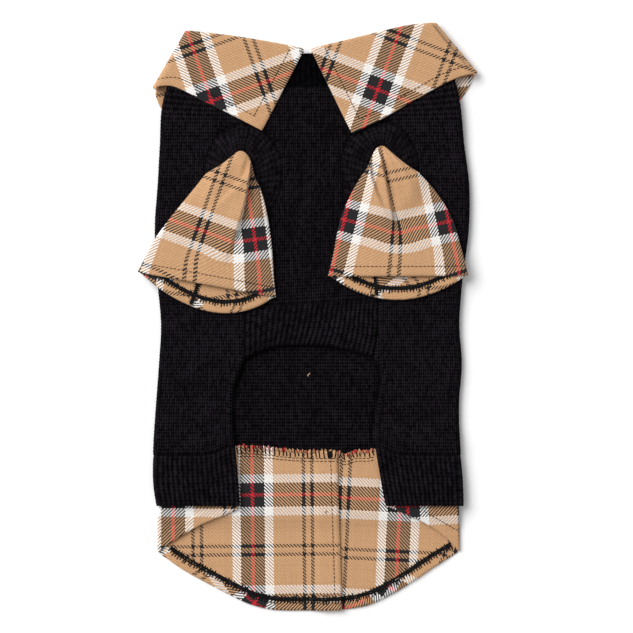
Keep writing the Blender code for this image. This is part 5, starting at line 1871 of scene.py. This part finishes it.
def add_camera():
    lens = bpy.data.cameras.new("camera")
    lens.lens = LENS
    lens.sensor_width = SENSOR
    lens.clip_end = 10.0
    camera = bpy.data.objects.new("camera", lens)
    distance = VIEW_WIDTH * LENS / SENSOR + GARMENT_MIDDLE_Z
    camera.location = (VIEW_MIDDLE[0] * MM, VIEW_MIDDLE[1] * MM, distance * MM)
    bpy.context.scene.collection.objects.link(camera)
    bpy.context.scene.camera = camera
    bpy.context.scene.view_settings.view_transform = "Standard"


# ---- the garment

Sheet = namedtuple("Sheet", "node slot width length held area")
SHEETS = row_table(Sheet, (
    ("back_panel", "stockinette", 355, 270, "folded", 82000),
    ("chest_panel", "stockinette", 96, 155, "laid", 11000),
    ("belly_rib", "rib_knit", 95, 38, "laid", 3000),
    ("hem_rib", "rib_knit", 345, 35, "folded", None),
    ("neck_rib", "rib_knit", 370, 26, "folded", 8700),
    ("armhole_rib_left", "rib_knit", 150, 19, "laid", None),
    ("armhole_rib_right", "rib_knit", 150, 19, "laid", None),
    ("collar", "check_twill", 400, 62, "folded", None),
    ("sleeve_left", "check_twill", 195, 95, "laid", 13000),
    ("sleeve_right", "check_twill", 195, 95, "laid", 13000),
    ("tail_left", "check_twill", 185, 114, "folded", 16500),
    ("tail_right", "check_twill", 156, 114, "folded", 13500),
))


def dress(piece, sheet):
    """Attach a piece of cloth that stands for a solid, and hide the solid; the sheet's sizes are
    in mm and mm2.
    """
    ride(piece)
    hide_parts(sheet.node)


def main():
    knit = knit_material("stockinette", KNIT_PAINTED_LIGHT)
    plain_knit = knit_material("stockinette_plain", KNIT_PAINTED_LIGHT, flat=True)
    purl_knit = knit_material("stockinette_purl", KNIT_PAINTED_LIGHT, highlight_share=0.84)
    chest_knit = knit_material("stockinette_chest", KNIT_PAINTED_LIGHT, highlight_share=0.84)
    rib = knit_material("rib_knit", RIB_PAINTED_LIGHT, highlight_share=0.88, groove_shade=0.35, patchy=1.0)
    # Painted shade: the neck rib lies in the collar's shadow, so it gets little painted
    # highlight
    neck_rib = knit_material("rib_knit_neck_shaded", RING_PAINTED_LIGHT, highlight_share=0.15, groove_shade=0.6)
    # Painted shade: the armhole rings lie shaded beside the sleeves, so they get less painted
    # highlight
    shaded_ring_rib = knit_material("rib_knit_ring_shaded", RING_PAINTED_LIGHT, highlight_share=0.75, groove_shade=0.4,
                             patchy=1.5)
    check = check_twill()
    black = thread_material("thread_black", (0.007, 0.007, 0.008), 0.1)
    tan = thread_material("thread_tan", (0.55, 0.38, 0.22), 0.2)

    pieces = {
        "back_panel": add_back_panel(knit, plain_knit, purl_knit),
        "chest_panel": add_chest_panel(chest_knit),
        "belly_rib": add_belly_rib(rib),
        "hem_rib": add_hem_rib(rib),
        "neck_rib": add_neck_rib(neck_rib),
        "armhole_rib_left": add_armhole_rib(-1, shaded_ring_rib, 13),
        "armhole_rib_right": add_armhole_rib(1, shaded_ring_rib, 17),
        "collar": add_collar(check),
        "sleeve_left": add_sleeve(-1, check),
        "sleeve_right": add_sleeve(1, check),
        "tail_left": add_tail_half(-1, check),
        "tail_right": add_tail_half(1, check),
    }
    for sheet in SHEETS:
        dress(pieces[sheet.node], sheet)
    add_sewing(pieces["collar"], (pieces["sleeve_left"], pieces["sleeve_right"]),
               (pieces["tail_left"], pieces["tail_right"]), black, tan, check)

    add_floor()
    add_light("key", location=(-3.2, 2.4, 3.8), size=4.0, watts=362)
    add_world(strength=0.48)
    add_camera()


main()
